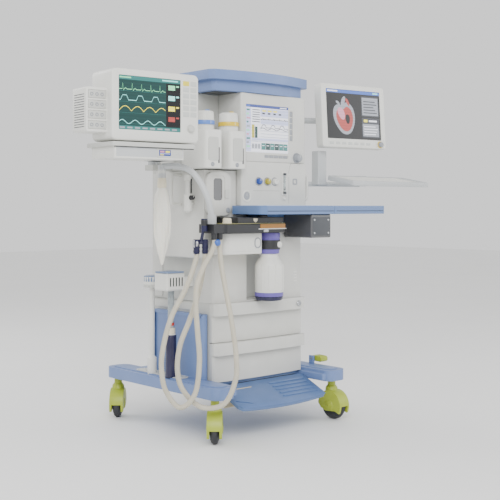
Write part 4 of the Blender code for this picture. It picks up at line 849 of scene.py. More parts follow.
tray_pieces = [tray, lip]
for i in range(5):
    rib = plate("rib", rounded(0.018, tray_x1 - 0.019, -TRAY_LENGTH + 0.042 + 0.024 * i,
            -TRAY_LENGTH + 0.053 + 0.024 * i, 0.005, 4), "XY", -0.001, 0.0032)
    tray_pieces.append(soften(rib, 0.0018, 2))
dress(freeze(join("footrest_tray", tray_pieces), slope), blue_moulded, instead_of=["footrest"])

kick = block("kick_plate", -0.230, -0.085, -0.268, -0.258, 0.1135, 0.184)
sink(kick, FRONT, 0.006, -0.0015)
dress(kick, beige_coat, slot="cream_plastic", edge=0.002)
print("footrest slopes", round(math.degrees(TRAY_SLOPE)), "degrees")

# %% [markdown]
# ## Cabinet and drawers
#
# The cabinet is a folded steel carcass, and its CAD solid is already the right shape, so it only takes its
# powder coat. Each drawer is a moulded front that bulges a little in the middle, with a full-width grip band
# along its top. The hand goes up behind the band from below, so a groove is cut there. Behind the front is a
# thin-walled tray on two steel runners.

# %% Drawer fronts, grip bands and trays
HALF_WIDTH = (cabinet_high.x - cabinet_low.x) / 2
CABINET_FRONT = edges_of("cabinet")[2]
PANEL_FRONT = -0.222
BOW = 0.012
BAND_HEIGHT = 0.0495
BAND_DEPTH = 0.025
WALL = 0.012
DRAWER_DEPTH = 0.320
repaint("cabinet", casing_shade)


def drawer(node):
    """Front, grip band and tray of one drawer."""
    low, high = edges_of(node)[4:]
    face = plate("face", bowed(HALF_WIDTH, PANEL_FRONT, BOW, CABINET_FRONT - 0.0004, 40, 0.006), "XY", low,
        high - 0.002)
    soften(face, 0.003)
    band = plate("band", bowed(HALF_WIDTH + 0.005, PANEL_FRONT - BAND_DEPTH, BOW, PANEL_FRONT + 0.004, 40,
            0.014), "XY", high - BAND_HEIGHT, high)
    soften(band, 0.009, 5)
    grip = plate("grip", bowed(HALF_WIDTH - 0.030, PANEL_FRONT - BAND_DEPTH + 0.006, BOW, PANEL_FRONT - BOW,
            40), "XY", high - BAND_HEIGHT - 0.01, high - 0.014)
    cut(band, grip)
    dress(join(node + "_front", [face, band]), casing, node, instead_of=[node])
    inner = HALF_WIDTH - WALL - 0.002
    back = CABINET_FRONT + DRAWER_DEPTH
    tub = block(node + "_tray", -inner, inner, CABINET_FRONT - 0.0002, back, low + 0.010, high - 0.020)
    sink(tub, UP, 0.006, -(high - low - 0.036))
    dress(tub, casing_shade, node, edge=0.0012, segments=2)
    runners = [block("runner", *sorted((side * (inner + 0.0002), side * (inner + 0.0016))),
            CABINET_FRONT + 0.01, back - 0.01, low + 0.050, low + 0.078) for side in (-1, 1)]
    dress(join(node + "_runners", runners), steel, node, edge=0.0004, segments=2)
    print(node, "front is", round(high - low, 3), "m high")


for drawer_node in ("lower_drawer", "upper_drawer"):
    drawer(drawer_node)

# %% [markdown]
# The upper drawer has a round cam lock at its right, a chromed barrel in a collar with its key slot.

# %% Drawer lock
lock_x0, lock_x1, lock_y0, lock_y1, lock_z0, lock_z1 = edges_of("drawer_lock")
lock_place = ((lock_x0 + lock_x1) / 2, lock_y1, (lock_z0 + lock_z1) / 2)
barrel = turned("barrel", [(0, 0.0052), (0.0080, 0.0052), (0.0084, 0.0066), (0.0112, 0.0066),
        (0.0120, 0.0056), (0.0120, 0.0), (0, 0.0)], lock_place, FACING_FRONT, 36)
slot = block("slot", lock_place[0] - 0.0012, lock_place[0] + 0.0012, lock_y0 - 0.01, lock_y1 - 0.0040,
             lock_place[2] - 0.006, lock_place[2] + 0.006)
dress(cut(barrel, slot), chrome, "drawer_lock", instead_of=["drawer_lock"])
barrel.name = "drawer_lock_barrel"

# %% [markdown]
# ## Tower
#
# Above the drawers a bowed panel closes the tower, with a deep round-cornered recess where the absorber
# canister hangs. Four raised louvres at its right let warm air out. The panel is one moulding, so its recess
# is cut and all its edges are rolled.

# %% Front panel with its recess and louvres
panel_z0, panel_z1 = edges_of("front_panel")[4:]
RECESS = (-0.082, 0.100)
COLUMN_FRONT = -0.100
panel = plate("front_panel_moulding", bowed(HALF_WIDTH, PANEL_FRONT, BOW, COLUMN_FRONT - 0.0003, 40, 0.008),
    "XY", panel_z0, panel_z1)
recess = block("recess", *RECESS, -0.30, -0.145, panel_z0 + 0.006, panel_z1 + 0.01)
round_upright(recess, 0.014, lambda middle, direction: abs(direction.z) > 0.9 and middle.y > -0.2)
cut(panel, recess)
dress(panel, casing, instead_of=["front_panel"], edge=0.0016)
vents = [block("louvre", 0.150, 0.222, PANEL_FRONT - 0.0045, PANEL_FRONT + 0.004, 0.604 + 0.013 * i,
        0.6105 + 0.013 * i) for i in range(4)]
dress(join("front_louvres", vents), white_abs, edge=0.0015)
recess_back = block("recess_liner", RECESS[0] + 0.002, RECESS[1] - 0.002, -0.149, -0.1452, panel_z0 + 0.008,
    panel_z1 - 0.004)
sink(recess_back, FRONT, 0.020, -0.002)
dress(recess_back, casing_shade, edge=0.001)
print("recess is", round(RECESS[1] - RECESS[0], 3), "m wide")

# %% [markdown]
# The column behind is sheet steel. Its sides carry long flush covers with a shadow gap round them, held by
# quarter-turn screws. The back has a louvred door, the mains inlet and the row of gas inlets, which is
# where the hospital's supply plugs in. None of their leads is attached here.

# %% Side covers
repaint("upper_housing", casing_shade)
BODY_BACK = edges_of("upper_housing")[3]
BODY_TOP = edges_of("upper_housing")[5]


def screw_head(x, y, z, tilt):
    head = turned("head", [(0, 0.0010), (0.0030, 0.0010), (0.0052, 0.0016), (0.0062, 0.0004),
            (0.0062, -0.001), (0, -0.001)], (x, y, z), tilt, 18)
    return head


def cover(name, low, high, direction, lift=0.003, corner=0.010, material=None):
    """A flush cover on a flat face: a slab with round corners."""
    if abs(direction.x) > 0:
        slab = plate(name, rounded(low[0], high[0], low[1], high[1], corner), "YZ",
            *sorted((low[2], low[2] + direction.x * lift)))
    else:
        slab = plate(name, rounded(low[0], high[0], low[1], high[1], corner), "XZ",
            *sorted((low[2], low[2] + direction.y * lift)))
    soften(slab, 0.0012)
    return dress(slab, material or casing, slot="white_casing")


side_x = HALF_WIDTH
for index, (z0, z1) in enumerate(((0.545, 0.930), (0.940, 1.240), (1.250, BODY_TOP - 0.010))):
    cover(f"right_side_cover_{index + 1}", (-0.085, z0, side_x + 0.0002), (0.185, z1), RIGHT)
cover("right_cabinet_cover", (-0.185, 0.222, side_x + 0.0002), (0.185, 0.530), RIGHT)
cover("left_cabinet_cover", (-0.100, 0.500, -side_x - 0.0002), (0.185, 0.530), LEFT, corner=0.004)
cover("left_side_cover", (0.116, 0.545, -side_x - 0.0002), (0.185, 1.075), LEFT)
cover("left_wing_cover", (0.000, 1.118, -side_x - 0.0232), (0.142, BODY_TOP - 0.012), LEFT, lift=0.0025)
heads = [screw_head(side_x + 0.0032, y, z, FACING_RIGHT) for y in (-0.070, 0.170)
         for z in (0.240, 0.515, 0.560, 0.915, 0.955, 1.225, 1.265, 1.380)]
dress(join("side_cover_screws", heads), steel)

# %% [markdown]
# The back is one tall door with louvres above it. The gas and mains inlets are low on the door, and four
# sockets are on the panel under it.

# %% Back door, louvres and inlets
back_y = BODY_BACK + 0.0002
cover("back_door", (-0.235, 0.560, back_y), (0.235, 1.190), BACK, 0.004, 0.016)
cover("back_upper_panel", (-0.235, 1.205, back_y), (0.235, BODY_TOP - 0.012), BACK, 0.004, 0.012)
cover("back_cabinet_panel", (-0.235, 0.225, back_y), (0.235, 0.545), BACK, 0.004, 0.012)
slots = []
for x0, x1 in ((-0.190, -0.020), (0.020, 0.190)):
    for i in range(14):
        fin = block("fin", x0, x1, back_y + 0.0035, back_y + 0.0070, 1.235 + 0.011 * i, 1.240 + 0.011 * i)
        slots.append(fin)
dress(join("back_louvre_fins", slots), casing, edge=0.0010, segments=2)
shade = [block("shade", x0, x1, back_y + 0.003, back_y + 0.0044, 1.231, 1.388) for x0,
    x1 in ((-0.194, -0.016), (0.016, 0.194))]
dress(join("back_louvre_shadows", shade), seam_dark, slot="black_plastic")
latch = plate("latch", rounded(0.195, 0.222, 0.850, 0.930, 0.008), "XZ", back_y + 0.004, back_y + 0.010)
sink(latch, BACK, 0.006, -0.003)
dress(join("back_door_latch", [soften(latch, 0.0012)]), grey_abs)
heads = [screw_head(x, back_y + 0.0042, z, FACING_FRONT.inverted()) for x in (-0.222, 0.222)
         for z in (0.240, 0.530, 0.575, 1.175, 1.220, 1.380)]
dress(join("back_screws", heads), steel)

inlet_frame = plate("inlet_frame", rounded(-0.215, 0.000, 0.600, 0.680, 0.010), "XZ", back_y + 0.004,
    back_y + 0.007)
dress(inlet_frame, grey_abs, edge=0.001)
gas_colours = {"oxygen": white_abs, "nitrous": band_blue, "air": dark_abs_and_painted_shade}
for index, (gas, tone) in enumerate(gas_colours.items()):
    place = (-0.180 + 0.072 * index, back_y + 0.007, 0.640)
    collar = turned("collar", [(0, 0.006), (0.010, 0.006), (0.0105, 0.002), (0.018, 0.002), (0.0195, 0.0),
            (0, 0.0)], place, FACING_FRONT.inverted(), 32)
    dress(collar, tone, slot="grey_plastic")
    collar.name = gas + "_inlet_ring"
    nut = turned("nut", [(0, 0.0105), (0.0045, 0.0105), (0.0052, 0.007), (0.0085, 0.0065), (0.0085, 0.0),
            (0, 0.0)], (place[0], place[1] - 0.001, place[2]), FACING_FRONT.inverted(), 6)
    dress(nut, chrome)
    nut.name = gas + "_inlet_nut"
mains = plate("mains", rounded(0.060, 0.130, 0.610, 0.670, 0.006), "XZ", back_y + 0.004, back_y + 0.009)
sink(mains, BACK, 0.010, -0.004)
dress(join("mains_inlet", [mains]), black_abs, edge=0.0008)
socket_panel = plate("sockets", rounded(-0.215, 0.215, 0.260, 0.380, 0.010), "XZ", back_y + 0.004,
    back_y + 0.007)
dress(join("back_socket_panel", [socket_panel]), grey_abs, edge=0.001)
sockets = []
for i in range(4):
    cup = plate("cup", rounded(-0.190 + 0.100 * i, -0.120 + 0.100 * i, 0.285, 0.355, 0.012), "XZ",
        back_y + 0.007, back_y + 0.0095)
    sink(cup, BACK, 0.008, -0.0020)
    sockets.append(cup)
dress(join("back_mains_sockets", sockets), black_abs, edge=0.0008)
print("back fittings stand", 0.0105 + 0.007, "m proud at most")

# %% [markdown]
# ## Hood
#
# Two moulded blue tiers, the upper one wider, both bowed at the front. Below the tier a dark plate is
# painted shade for the hood's shadowed underside. The hood's top is flat, with a raised rail that keeps
# things from sliding off.

# %% Hood tiers, top rail and painted shade below
hood_x0, hood_x1, _, hood_y1, hood_z0, hood_z1 = edges_of("canopy")
TIER_TOP = hood_z1 - 0.038
tier = plate("tier", bowed(HALF_WIDTH, -0.225, 0.036, BODY_BACK, 44, 0.012), "XY", hood_z0, TIER_TOP)
soften(tier, 0.005, 4)
rim = plate("rim", bowed(hood_x1, -0.240, 0.045, hood_y1, 44, 0.016), "XY", TIER_TOP - 0.001, hood_z1)
soften(rim, 0.007, 5)
well = plate("well", bowed(hood_x1 - 0.022, -0.218, 0.045, hood_y1 - 0.022, 44, 0.012), "XY",
    hood_z1 - 0.006, hood_z1 + 0.01)
cut(rim, well)
dress(join("hood", [tier, rim]), blue_coat, slot="blue_plastic", instead_of=["canopy"])
top_sheet = plate("hood_top_sheet", bowed(hood_x1 - 0.023, -0.217, 0.045, hood_y1 - 0.023, 44, 0.012), "XY",
                  hood_z1 - 0.0062, hood_z1 - 0.0050)
dress(top_sheet, casing_shade)
# A thin dark plate under the tier is painted shade, where the hood's underside lies in shadow.
painted_hood_shade = plate("hood_underside_painted_shade", bowed(HALF_WIDTH - 0.030, -0.200, 0.030, COLUMN_FRONT - 0.01, 30),
    "XY", hood_z0 - 0.0030, hood_z0 + 0.001)
dress(painted_hood_shade, dark_abs_and_painted_shade, edge=0.001)
print("hood rim is", round(hood_x1 - hood_x0, 3), "m wide")
# %% [markdown]
# ## Screens and knobs
#
# A screen is drawn from thin lit tiles laid on its glass: bars, readouts and traces, with no lettering.
# Tiles are given as shares of the screen's width and height from its upper left corner, so that a picture
# fits any screen. A knob is a turned piece whose rim is fluted by sinking every other face of its side.

# %% Pictures and knobs
def picture(name, body, stand, window, tiles):
    """Lit tiles on a plane facing the front: colour, left, right, top, bottom, or colour, points, width."""
    left, right, low, high = window
    pieces = []
    for level, (colour, *shape) in enumerate(tiles):
        face = -0.0004 - 0.00003 * level
        if len(shape) == 2:
            points, width = shape
            line = [(left + u * (right - left), high - v * (high - low)) for u, v in points]
            outline = [(x, z + width / 2) for x, z in line] + [(x, z - width / 2) for x,
                z in reversed(line)]
            tile = plate("tile", outline, "XZ", face, 0.0)
        else:
            u0, u1, v0, v1 = shape
            tile = block("tile", left + u0 * (right - left), left + u1 * (right - left), face, 0.0,
                         high - v1 * (high - low), high - v0 * (high - low))
        tile.data.materials.append(SCREEN_COLOURS[colour])
        pieces.append(tile)
    drawn = freeze(join(name, pieces), stand @ Matrix.Translation(-ORIGIN))
    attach(drawn, body)
    return drawn


def wave(count, height, middle, shape):
    """A trace across the screen: shares of its width and height."""
    return [(i / count, middle - height * shape(i / count)) for i in range(count + 1)]


def beat(share, times=5):
    """A heart beat's outline, repeated."""
    t = (share * times) % 1.0
    return math.exp(-((t - 0.4) / 0.035) ** 2) - 0.3 * math.exp(-((t - 0.48) / 0.03) ** 2) + 0.2 * math.exp(
        -((t - 0.7) / 0.08) ** 2)


def breath(share, times=3):
    """One breath rises fast, holds and falls."""
    t = (share * times) % 1.0
    return min(1.0, max(0.0, 8 * (t - 0.1))) * min(1.0, max(0.0, 8 * (0.6 - t)))


def centre_of(node):
    x0, x1, y0, y1, z0, z1 = edges_of(node)
    return (x0 + x1) / 2, (y0 + y1) / 2, (z0 + z1) / 2


def fluted(piece, centre, axis="Y", count=24, depth=0.0007):
    """Sinks every other face round a turned piece's side."""
    def every_other(middle, normal):
        lean = abs(normal.y if axis == "Y" else normal.z)
        across = (middle.z - centre[2]) if axis == "Y" else (middle.y - centre[1])
        turn = math.atan2(across, middle.x - centre[0]) % (2 * math.pi)
        return lean < 0.25 and int(turn / (2 * math.pi) * count) % 2 == 0

    edit(piece, every_other)
    bpy.ops.mesh.inset(thickness=0.0004, depth=-depth, use_individual=True)
    leave()
    return piece


def front_knob(node, material, slot, mark=None, count=24):
    """A fluted knob that faces the front, with a domed cap, a skirt and a pointer line."""
    x0, x1, y0, y1, z0, z1 = edges_of(node)
    radius, length = (x1 - x0) / 2, y1 - y0
    place = ((x0 + x1) / 2, y1, (z0 + z1) / 2)
    body = turned(node + "_body", [(0, length), (radius * 0.62, length), (radius * 0.80, length - 0.0006),
            (radius * 0.90, length * 0.86), (radius * 0.94, length * 0.24), (radius, length * 0.18),
            (radius, length * 0.02), (0, 0)], place, FACING_FRONT, count)
    fluted(body, place, "Y", count)
    dress(body, material, node, slot, [node], smooth=40)
    line = block(node + "_pointer", place[0] - 0.0009, place[0] + 0.0009, y0 - 0.0003, y0 + 0.0006,
                 place[2] + radius * 0.1, place[2] + radius * 0.72)
    dress(line, mark or white_abs, node, slot)
    return place


print("screens and knobs can be made")

# %% [markdown]
# ## Control panel and screen housing
#
# Both are shallow moulded boxes on the column. The upper one carries the ventilator's screen in a recess
# with a grey strip of soft keys beside it and another under it. The lower one carries the gas controls.

# %% Panel boxes
panel_box = block("control_panel_moulding", *edges_of("control_panel"))
round_upright(panel_box, 0.006, front_upright)
dress(panel_box, casing, instead_of=["control_panel"], edge=0.0030)
housing_y0 = edges_of("screen_housing")[2]
SCREEN = (-0.100, 0.146, 1.160, 1.360)
housing = block("screen_housing_moulding", *edges_of("screen_housing"))
round_upright(housing, 0.010, front_upright)
soften(housing, 0.0030)
pocket = block("pocket", SCREEN[0], SCREEN[1], housing_y0 - 0.01, housing_y0 + 0.008, SCREEN[2], SCREEN[3])
key_strip = block("strip", 0.153, 0.172, housing_y0 - 0.01, housing_y0 + 0.003, 1.212, 1.345)
low_strip = block("strip", 0.005, 0.146, housing_y0 - 0.01, housing_y0 + 0.003, 1.137, 1.151)
for cutter in (key_strip, low_strip):
    round_upright(cutter, 0.003, along_depth, 4)
cut(housing, pocket, key_strip, low_strip)
dress(housing, casing, instead_of=["screen_housing"])
pads = [block("pad", 0.1545, 0.1705, housing_y0 + 0.0012, housing_y0 + 0.003, 1.217 + 0.026 * i,
        1.238 + 0.026 * i) for i in range(5)]
pads += [block("pad", 0.008 + 0.0275 * i, 0.0315 + 0.0275 * i, housing_y0 + 0.0012, housing_y0 + 0.003,
        1.139, 1.149) for i in range(5)]
dress(join("screen_side_keys", pads), grey_abs, edge=0.0006)

# %% [markdown]
# The ventilator's screen shows a title bar, readings, three traces and a row of soft keys. They are lit
# tiles in the screen's own shares, so the picture stays in its recess whatever the housing's size.

# %% Ventilator screen
repaint("display", SCREEN_COLOURS["black"])
display_front = edges_of("display")[2]
tiles = [("white", 0.0, 1.0, 0.0, 1.0), ("navy", 0.0, 1.0, 0.0, 0.06), ("lavender", 0.0, 0.12, 0.07, 0.98),
    ("lavender", 0.34, 1.0, 0.07, 0.24), ("lavender", 0.34, 1.0, 0.31, 0.40),
    ("blue", 0.02, 0.10, 0.015, 0.045), ("white", 0.80, 0.96, 0.02, 0.04),
    ("olive", 0.14, 0.20, 0.42, 0.74), ("deep_green", 0.21, 0.27, 0.46, 0.74),
    ("grey", 0.13, 0.28, 0.76, 0.775), ("grey", 0.34, 1.0, 0.535, 0.542), ("grey", 0.34, 1.0, 0.60, 0.607),
    ("grey", 0.34, 1.0, 0.665, 0.672), ("grey", 0.0, 1.0, 0.765, 0.772),
    ("lavender", 0.14, 1.0, 0.70, 0.75)]
tiles += [("yellow", 0.38 + 0.13 * i, 0.47 + 0.13 * i, 0.10, 0.135) for i in range(3)]
tiles += [("dark_grey", 0.38 + 0.13 * i, 0.44 + 0.13 * i, 0.155, 0.19) for i in range(4)]
tiles += [(tone, 0.02, 0.02 + width, 0.10 + 0.085 * i, 0.135 + 0.085 * i) for i,
    (tone, width) in enumerate((("teal", 0.07), ("green", 0.05), ("pink", 0.08), ("teal", 0.04),
            ("grey", 0.07), ("green", 0.06), ("pink", 0.05), ("teal", 0.08), ("grey", 0.05),
            ("green", 0.07)))]
tiles += [("dark_grey", 0.15, 0.32, 0.10 + 0.05 * i, 0.115 + 0.05 * i) for i in range(6)]
tiles += [(("teal", "deep_green", "teal", "deep_green", "teal", "teal")[i], 0.36 + 0.105 * i,
        0.455 + 0.105 * i, 0.80, 0.94) for i in range(6)]
tiles += [("white", 0.375 + 0.105 * i, 0.43 + 0.105 * i, 0.845, 0.86) for i in range(6)]
tiles += [("grey", 0.14 + 0.07 * i, 0.19 + 0.07 * i, 0.82, 0.92) for i in range(3)]
for middle, height, shape in ((0.30, 0.05, beat), (0.47, 0.06, breath),
        (0.50, 0.02, lambda t: math.sin(19 * t))):
    tiles.append(("black", [(0.34 + 0.65 * u, v) for u, v in wave(70, height, middle, shape)], 0.0016))
picture("ventilator_screen_picture", "root", Matrix.Translation(ORIGIN + Vector((0, display_front, 0))),
    SCREEN, tiles)

# %% [markdown]
# The three gas knobs have different colours, and each stands in a raised collar. Beside them a clear flow
# tube with its ball and scale is let into a holder, and a small gauge sits low at the left.

# %% Knobs, switch and flow tube
front_knob("rotary_knob", grey_abs, "grey_plastic", count=30)
front_knob("flow_knob_left", knob_blue, "blue_knob")
front_knob("flow_knob_middle", knob_yellow, "yellow_knob")
front_knob("flow_knob_right", white_abs, "white_casing", dark_abs_and_painted_shade)
front_knob("aux_flow_knob", white_abs, "white_casing", dark_abs_and_painted_shade, 18)
CONTROL_FRONT = edges_of("control_panel")[2]
collars = []
for node in ("flow_knob_left", "flow_knob_middle", "flow_knob_right", "rotary_knob"):
    x, y, z = centre_of(node)
    wide = (edges_of(node)[1] - edges_of(node)[0]) / 2
    front = housing_y0 if node == "rotary_knob" else CONTROL_FRONT
    collars.append(turned("collar", [(wide * 1.02, 0.0008), (wide * 1.14, 0.0016), (wide * 1.30, 0.0012),
                (wide * 1.34, -0.001), (wide * 1.02, -0.001), (wide * 1.02, 0.0008)], (x, front, z),
            FACING_FRONT, 36))
dress(join("knob_collars", collars), grey_abs)
repaint("power_switch", knob_blue)
frame_ring = plate("switch_frame", rounded(0.172, 0.198, 1.027, 1.053, 0.005), "XZ", CONTROL_FRONT - 0.0016,
    CONTROL_FRONT + 0.001)
hole = block("hole", 0.1772, 0.1928, CONTROL_FRONT - 0.01, CONTROL_FRONT + 0.01, 1.0322, 1.0478)
dress(cut(frame_ring, hole), grey_abs, edge=0.0005)
holder = plate("flow_tube_holder", rounded(0.104, 0.133, 0.980, 1.082, 0.004), "XZ", CONTROL_FRONT - 0.003,
    CONTROL_FRONT + 0.001)
groove = block("groove", 0.1115, 0.1255, CONTROL_FRONT - 0.02, CONTROL_FRONT - 0.001, 0.990, 1.072)
dress(cut(holder, groove), white_abs, edge=0.0008)
tube = turned("flow_tube", [(0, 0.072), (0.0050, 0.072), (0.0050, 0.0), (0, 0.0)],
    (0.1185, CONTROL_FRONT - 0.0062, 0.995))
dress(tube, clear_acrylic)
ends = [turned("end", [(0, 0.009), (0.0068, 0.009), (0.0068, 0.0), (0, 0.0)],
        (0.1185, CONTROL_FRONT - 0.0070, z), None, 24) for z in (0.986, 1.067)]
ends.append(turned("ball", [(0, 0.004), (0.0032, 0.0025), (0.0035, 0.001), (0, 0)],
        (0.1185, CONTROL_FRONT - 0.0062, 1.004), None, 16))
dress(join("flow_tube_ends", ends), dark_abs_and_painted_shade, edge=0.0005)
scale = [block("line", 0.127, 0.1300 - 0.001 * (i % 2), CONTROL_FRONT - 0.0033, CONTROL_FRONT - 0.0029,
        1.000 + 0.0065 * i, 1.0006 + 0.0065 * i) for i in range(11)]
dress(join("flow_tube_scale", scale), black_abs)
badge = [turned("badge", cap_outline(0.0150, 0.0160, 0.0016, 0.0006), (-0.096, CONTROL_FRONT, 0.976),
                FACING_FRONT, 40)]
dress(badge[0], grey_abs)
ring = turned("gauge_ring", [(0.0180, 0.0), (0.0190, 0.0026), (0.0235, 0.0030), (0.0250, 0.0012),
        (0.0250, -0.001), (0.0180, -0.001), (0.0180, 0.0)], (-0.096, CONTROL_FRONT, 0.976), FACING_FRONT,
    48)
dress(ring, white_abs)
hand = block("gauge_hand", -0.0966, -0.0954, CONTROL_FRONT - 0.0022, CONTROL_FRONT - 0.0015, 0.976, 0.988)
dress(hand, white_abs)
seams = [block("seam", 0.1480, 0.1488, CONTROL_FRONT - 0.0002, CONTROL_FRONT + 0.001, 0.945, 1.060),
         block("seam", -0.060, 0.092, CONTROL_FRONT - 0.0002, CONTROL_FRONT + 0.001, 0.9985, 0.9992)]
for start, end in ((0, 45), (45, 90)):
    outline = arc((0.2230, 1.0750), 0.0752, 180 - end, 180 - start, 10) + arc((0.2230, 1.0750), 0.0744,
        180 - start, 180 - end, 10)
    seams.append(plate("seam", [(x, min(z, 1.1195)) for x, z in outline], "XZ", CONTROL_FRONT - 0.0002,
            CONTROL_FRONT + 0.001))
dress(join("control_panel_seams", seams), seam_dark, slot="grey_plastic")
handles = []
for points in (((0.2553, -0.205, 0.962), (0.285, -0.205, 0.962), (0.303, -0.205, 0.975),
            (0.303, -0.205, 1.058), (0.285, -0.205, 1.071), (0.2553, -0.205, 1.071)),):
    handles.append(pipe("handle", points, 0.007, 5, 0.004))
dress(handles[0], white_abs, instead_of=["grab_handle_right"]).name = "grab_handle_right_bar"
left_bar = pipe("grab_handle_left_bar", ((-0.3003, -0.067, 0.943), (-0.332, -0.067, 0.943),
        (-0.348, -0.067, 0.956), (-0.348, -0.067, 1.050), (-0.332, -0.067, 1.063),
        (-0.3003, -0.067, 1.063)), 0.007, 5, 0.004)
dress(left_bar, white_abs, instead_of=["grab_handle_left"])
print("control panel with", len(collars), "knob collars")

# %% [markdown]
# ## Ventilator and vaporizers
#
# The ventilator's chamber sits in a pod under the vaporizers. Its door has round corners and a narrow
# window with the bellows behind it. A piston of black rubber rises and falls in there. The two vaporizers
# are cast bodies with a coloured band for their gas and a broad ribbed dial. The interlock between them
# lets only one be opened at a time.

# %% Pod, door and window
repaint("ventilator_pod", casing)
door_x0, door_x1, door_y0, door_y1, door_z0, door_z1 = edges_of("ventilator_door")
WINDOW = (-0.260, -0.213, 0.957, 1.047)
door = plate("ventilator_door_leaf", rounded(door_x0, door_x1, door_z0, door_z1, 0.035, 10), "XZ", door_y0,
    door_y1)
soften(door, 0.0035, 4)
opening = plate("opening", rounded(*WINDOW, 0.012, 8), "XZ", door_y0 - 0.02, door_y1 + 0.02)
field = plate("field", rounded(WINDOW[0] - 0.012, WINDOW[1] + 0.012, WINDOW[2] - 0.012, WINDOW[3] + 0.012,
        0.018, 8), "XZ", door_y0 - 0.02, door_y0 + 0.0025)
dress(cut(door, field, opening), casing, "ventilator_door", "pale_plastic", ["ventilator_door"])
pane = plate("ventilator_door_window", rounded(WINDOW[0] - 0.001, WINDOW[1] + 0.001, WINDOW[2] - 0.001,
        WINDOW[3] + 0.001, 0.012, 8), "XZ", door_y0 + 0.0060, door_y0 + 0.0085)
dress(pane, smoked_acrylic, "ventilator_door")
pull = plate("ventilator_door_pull", rounded(door_x1 - 0.034, door_x1 - 0.012, 0.965, 1.003, 0.006), "XZ",
    door_y0 - 0.004, door_y0 + 0.001)
dress(pull, casing_shade, "ventilator_door", "pale_plastic", edge=0.0015)
latch = [turned("latch", cap_outline(0.009, 0.011, 0.004, 0.002), (x, door_y0, 0.917), FACING_FRONT, 28)
         for x in (-0.281, -0.186)]
dress(join("ventilator_door_latches", latch), grey_abs, "ventilator_door")
piston_x, piston_y = centre_of("ventilator_piston")[:2]
piston_z0, piston_z1 = edges_of("ventilator_piston")[4:]
folds = [(0, piston_z1), (0.030, piston_z1), (0.036, piston_z1 - 0.003)]
for i in range(7):
    z = piston_z1 - 0.006 - i * (piston_z1 - piston_z0 - 0.010) / 7
    folds += [(0.0378, z), (0.0335, z - 0.005)]
folds += [(0.036, piston_z0 + 0.002), (0.034, piston_z0), (0, piston_z0)]
dress(turned("ventilator_piston_bellows", folds, (piston_x, piston_y, 0), steps=48), rubber,
    "ventilator_piston", instead_of=["ventilator_piston"], smooth=50)

# %% [markdown]
# Each vaporizer is a casting with rounded front corners, a sight glass and a filler cap. Its dial is ribbed
# so that a gloved hand can turn it, and everything on the dial rides on the dial's own body.

# %% Vaporizers, bands and dials
for side, band in (("left", band_blue), ("right", band_yellow)):
    node = "vaporizer_" + side
    x0, x1, y0, y1, z0, z1 = edges_of(node)
    body_top = 1.240
    body = block(node + "_casting", x0, x1, y0, y1, z0, body_top)
    round_upright(body, 0.020, lambda middle, direction: abs(direction.z) > 0.9
        and middle.y < (y0 + y1) / 2, 8)
    soften(body, 0.004, 4)
    sight = block("sight", (x0 + x1) / 2 + 0.016, (x0 + x1) / 2 + 0.026, y0 - 0.01, y0 + 0.004, z0 + 0.020,
        z0 + 0.085)
    cut(body, sight)
    dress(body, white_abs, instead_of=[node])
    strip = block(node + "_sight_glass", (x0 + x1) / 2 + 0.0165, (x0 + x1) / 2 + 0.0255, y0 + 0.0020,
        y0 + 0.004, z0 + 0.021, z0 + 0.084)
    dress(strip, smoked_acrylic)
    plate_shape = plate(node + "_front_field", rounded(x0 + 0.012, x1 - 0.026, z0 + 0.030, body_top - 0.030,
            0.008), "XZ", y0 - 0.0008, y0 + 0.002)
    dress(plate_shape, casing_shade, edge=0.0004)
    screw = turned("screw", cap_outline(0.007, 0.009, 0.003, 0.001),
                   ((x0 + x1) / 2 - 0.012, y0, z0 + 0.016), FACING_FRONT, 24)
    dress(screw, grey_abs).name = node + "_filler_cap"
    dial = "vaporizer_dial_" + side
    place = (HINGES[dial] - ORIGIN).to_2d().to_3d()
    dial_z0, dial_z1 = edges_of(dial)[4:]
    dial_r = (edges_of(dial)[1] - edges_of(dial)[0]) / 2
    collar_piece = turned(node + "_collar", [(0, dial_z0 - 0.0003), (dial_r - 0.004, dial_z0 - 0.0003),
            (dial_r - 0.002, dial_z0 - 0.002), (dial_r - 0.002, body_top - 0.002), (0, body_top - 0.002)],
        place, steps=48)
    dress(collar_piece, white_abs)
    height = dial_z1 - dial_z0
    cap = turned(dial + "_cap", [(0, height), (dial_r * 0.70, height), (dial_r * 0.84, height - 0.002),
            (dial_r * 0.90, height - 0.006), (dial_r * 0.93, 0.022), (dial_r * 0.96, 0.021),
            (dial_r * 0.96, 0.0), (0, 0)], (*place.xy, dial_z0), steps=60)
    fluted(cap, (*place.xy, 0), "Z", 60, 0.0009)
    dress(cap, white_abs, dial, instead_of=[dial], smooth=40)
    ring = turned(dial + "_band", [(dial_r * 0.955, 0.019), (dial_r * 0.985, 0.0185), (dial_r, 0.0165),
            (dial_r, 0.0040), (dial_r * 0.985, 0.002), (dial_r * 0.955, 0.0015), (dial_r * 0.955, 0.019)],
        (*place.xy, dial_z0), steps=60)
    dress(ring, band, dial, "dial_blue" if side == "left" else "dial_yellow")
    lock_button = turned(dial + "_zero_button", cap_outline(0.008, 0.010, 0.004, 0.002),
                         (place.x, place.y - dial_r * 0.45, dial_z1), None, 24)
    dress(lock_button, band, dial, "dial_blue" if side == "left" else "dial_yellow")
    pegs = [block("mark", place.x - 0.0008, place.x + 0.0008, place.y - dial_r - 0.0002,
            place.y - dial_r + 0.002, dial_z0 + 0.0045, dial_z0 + 0.016)]
    dress(join(dial + "_mark", pegs), white_abs, dial)

# %% [markdown]
# The interlock stands between the two dials. A light cap closes its post at the top.

# %% Interlock
repaint("vaporizer_interlock", grey_abs)
post_x, post_y = -0.237, -0.1175
cap = turned("interlock_cap", cap_outline(0.006, 0.0075, 0.004, 0.002, -0.004),
             (post_x, post_y, edges_of("vaporizer_interlock")[5] - 0.004), None, 24)
dress(cap, white_abs, "vaporizer_interlock")
print("two vaporizers, dials", round(2 * dial_r, 3), "m across")

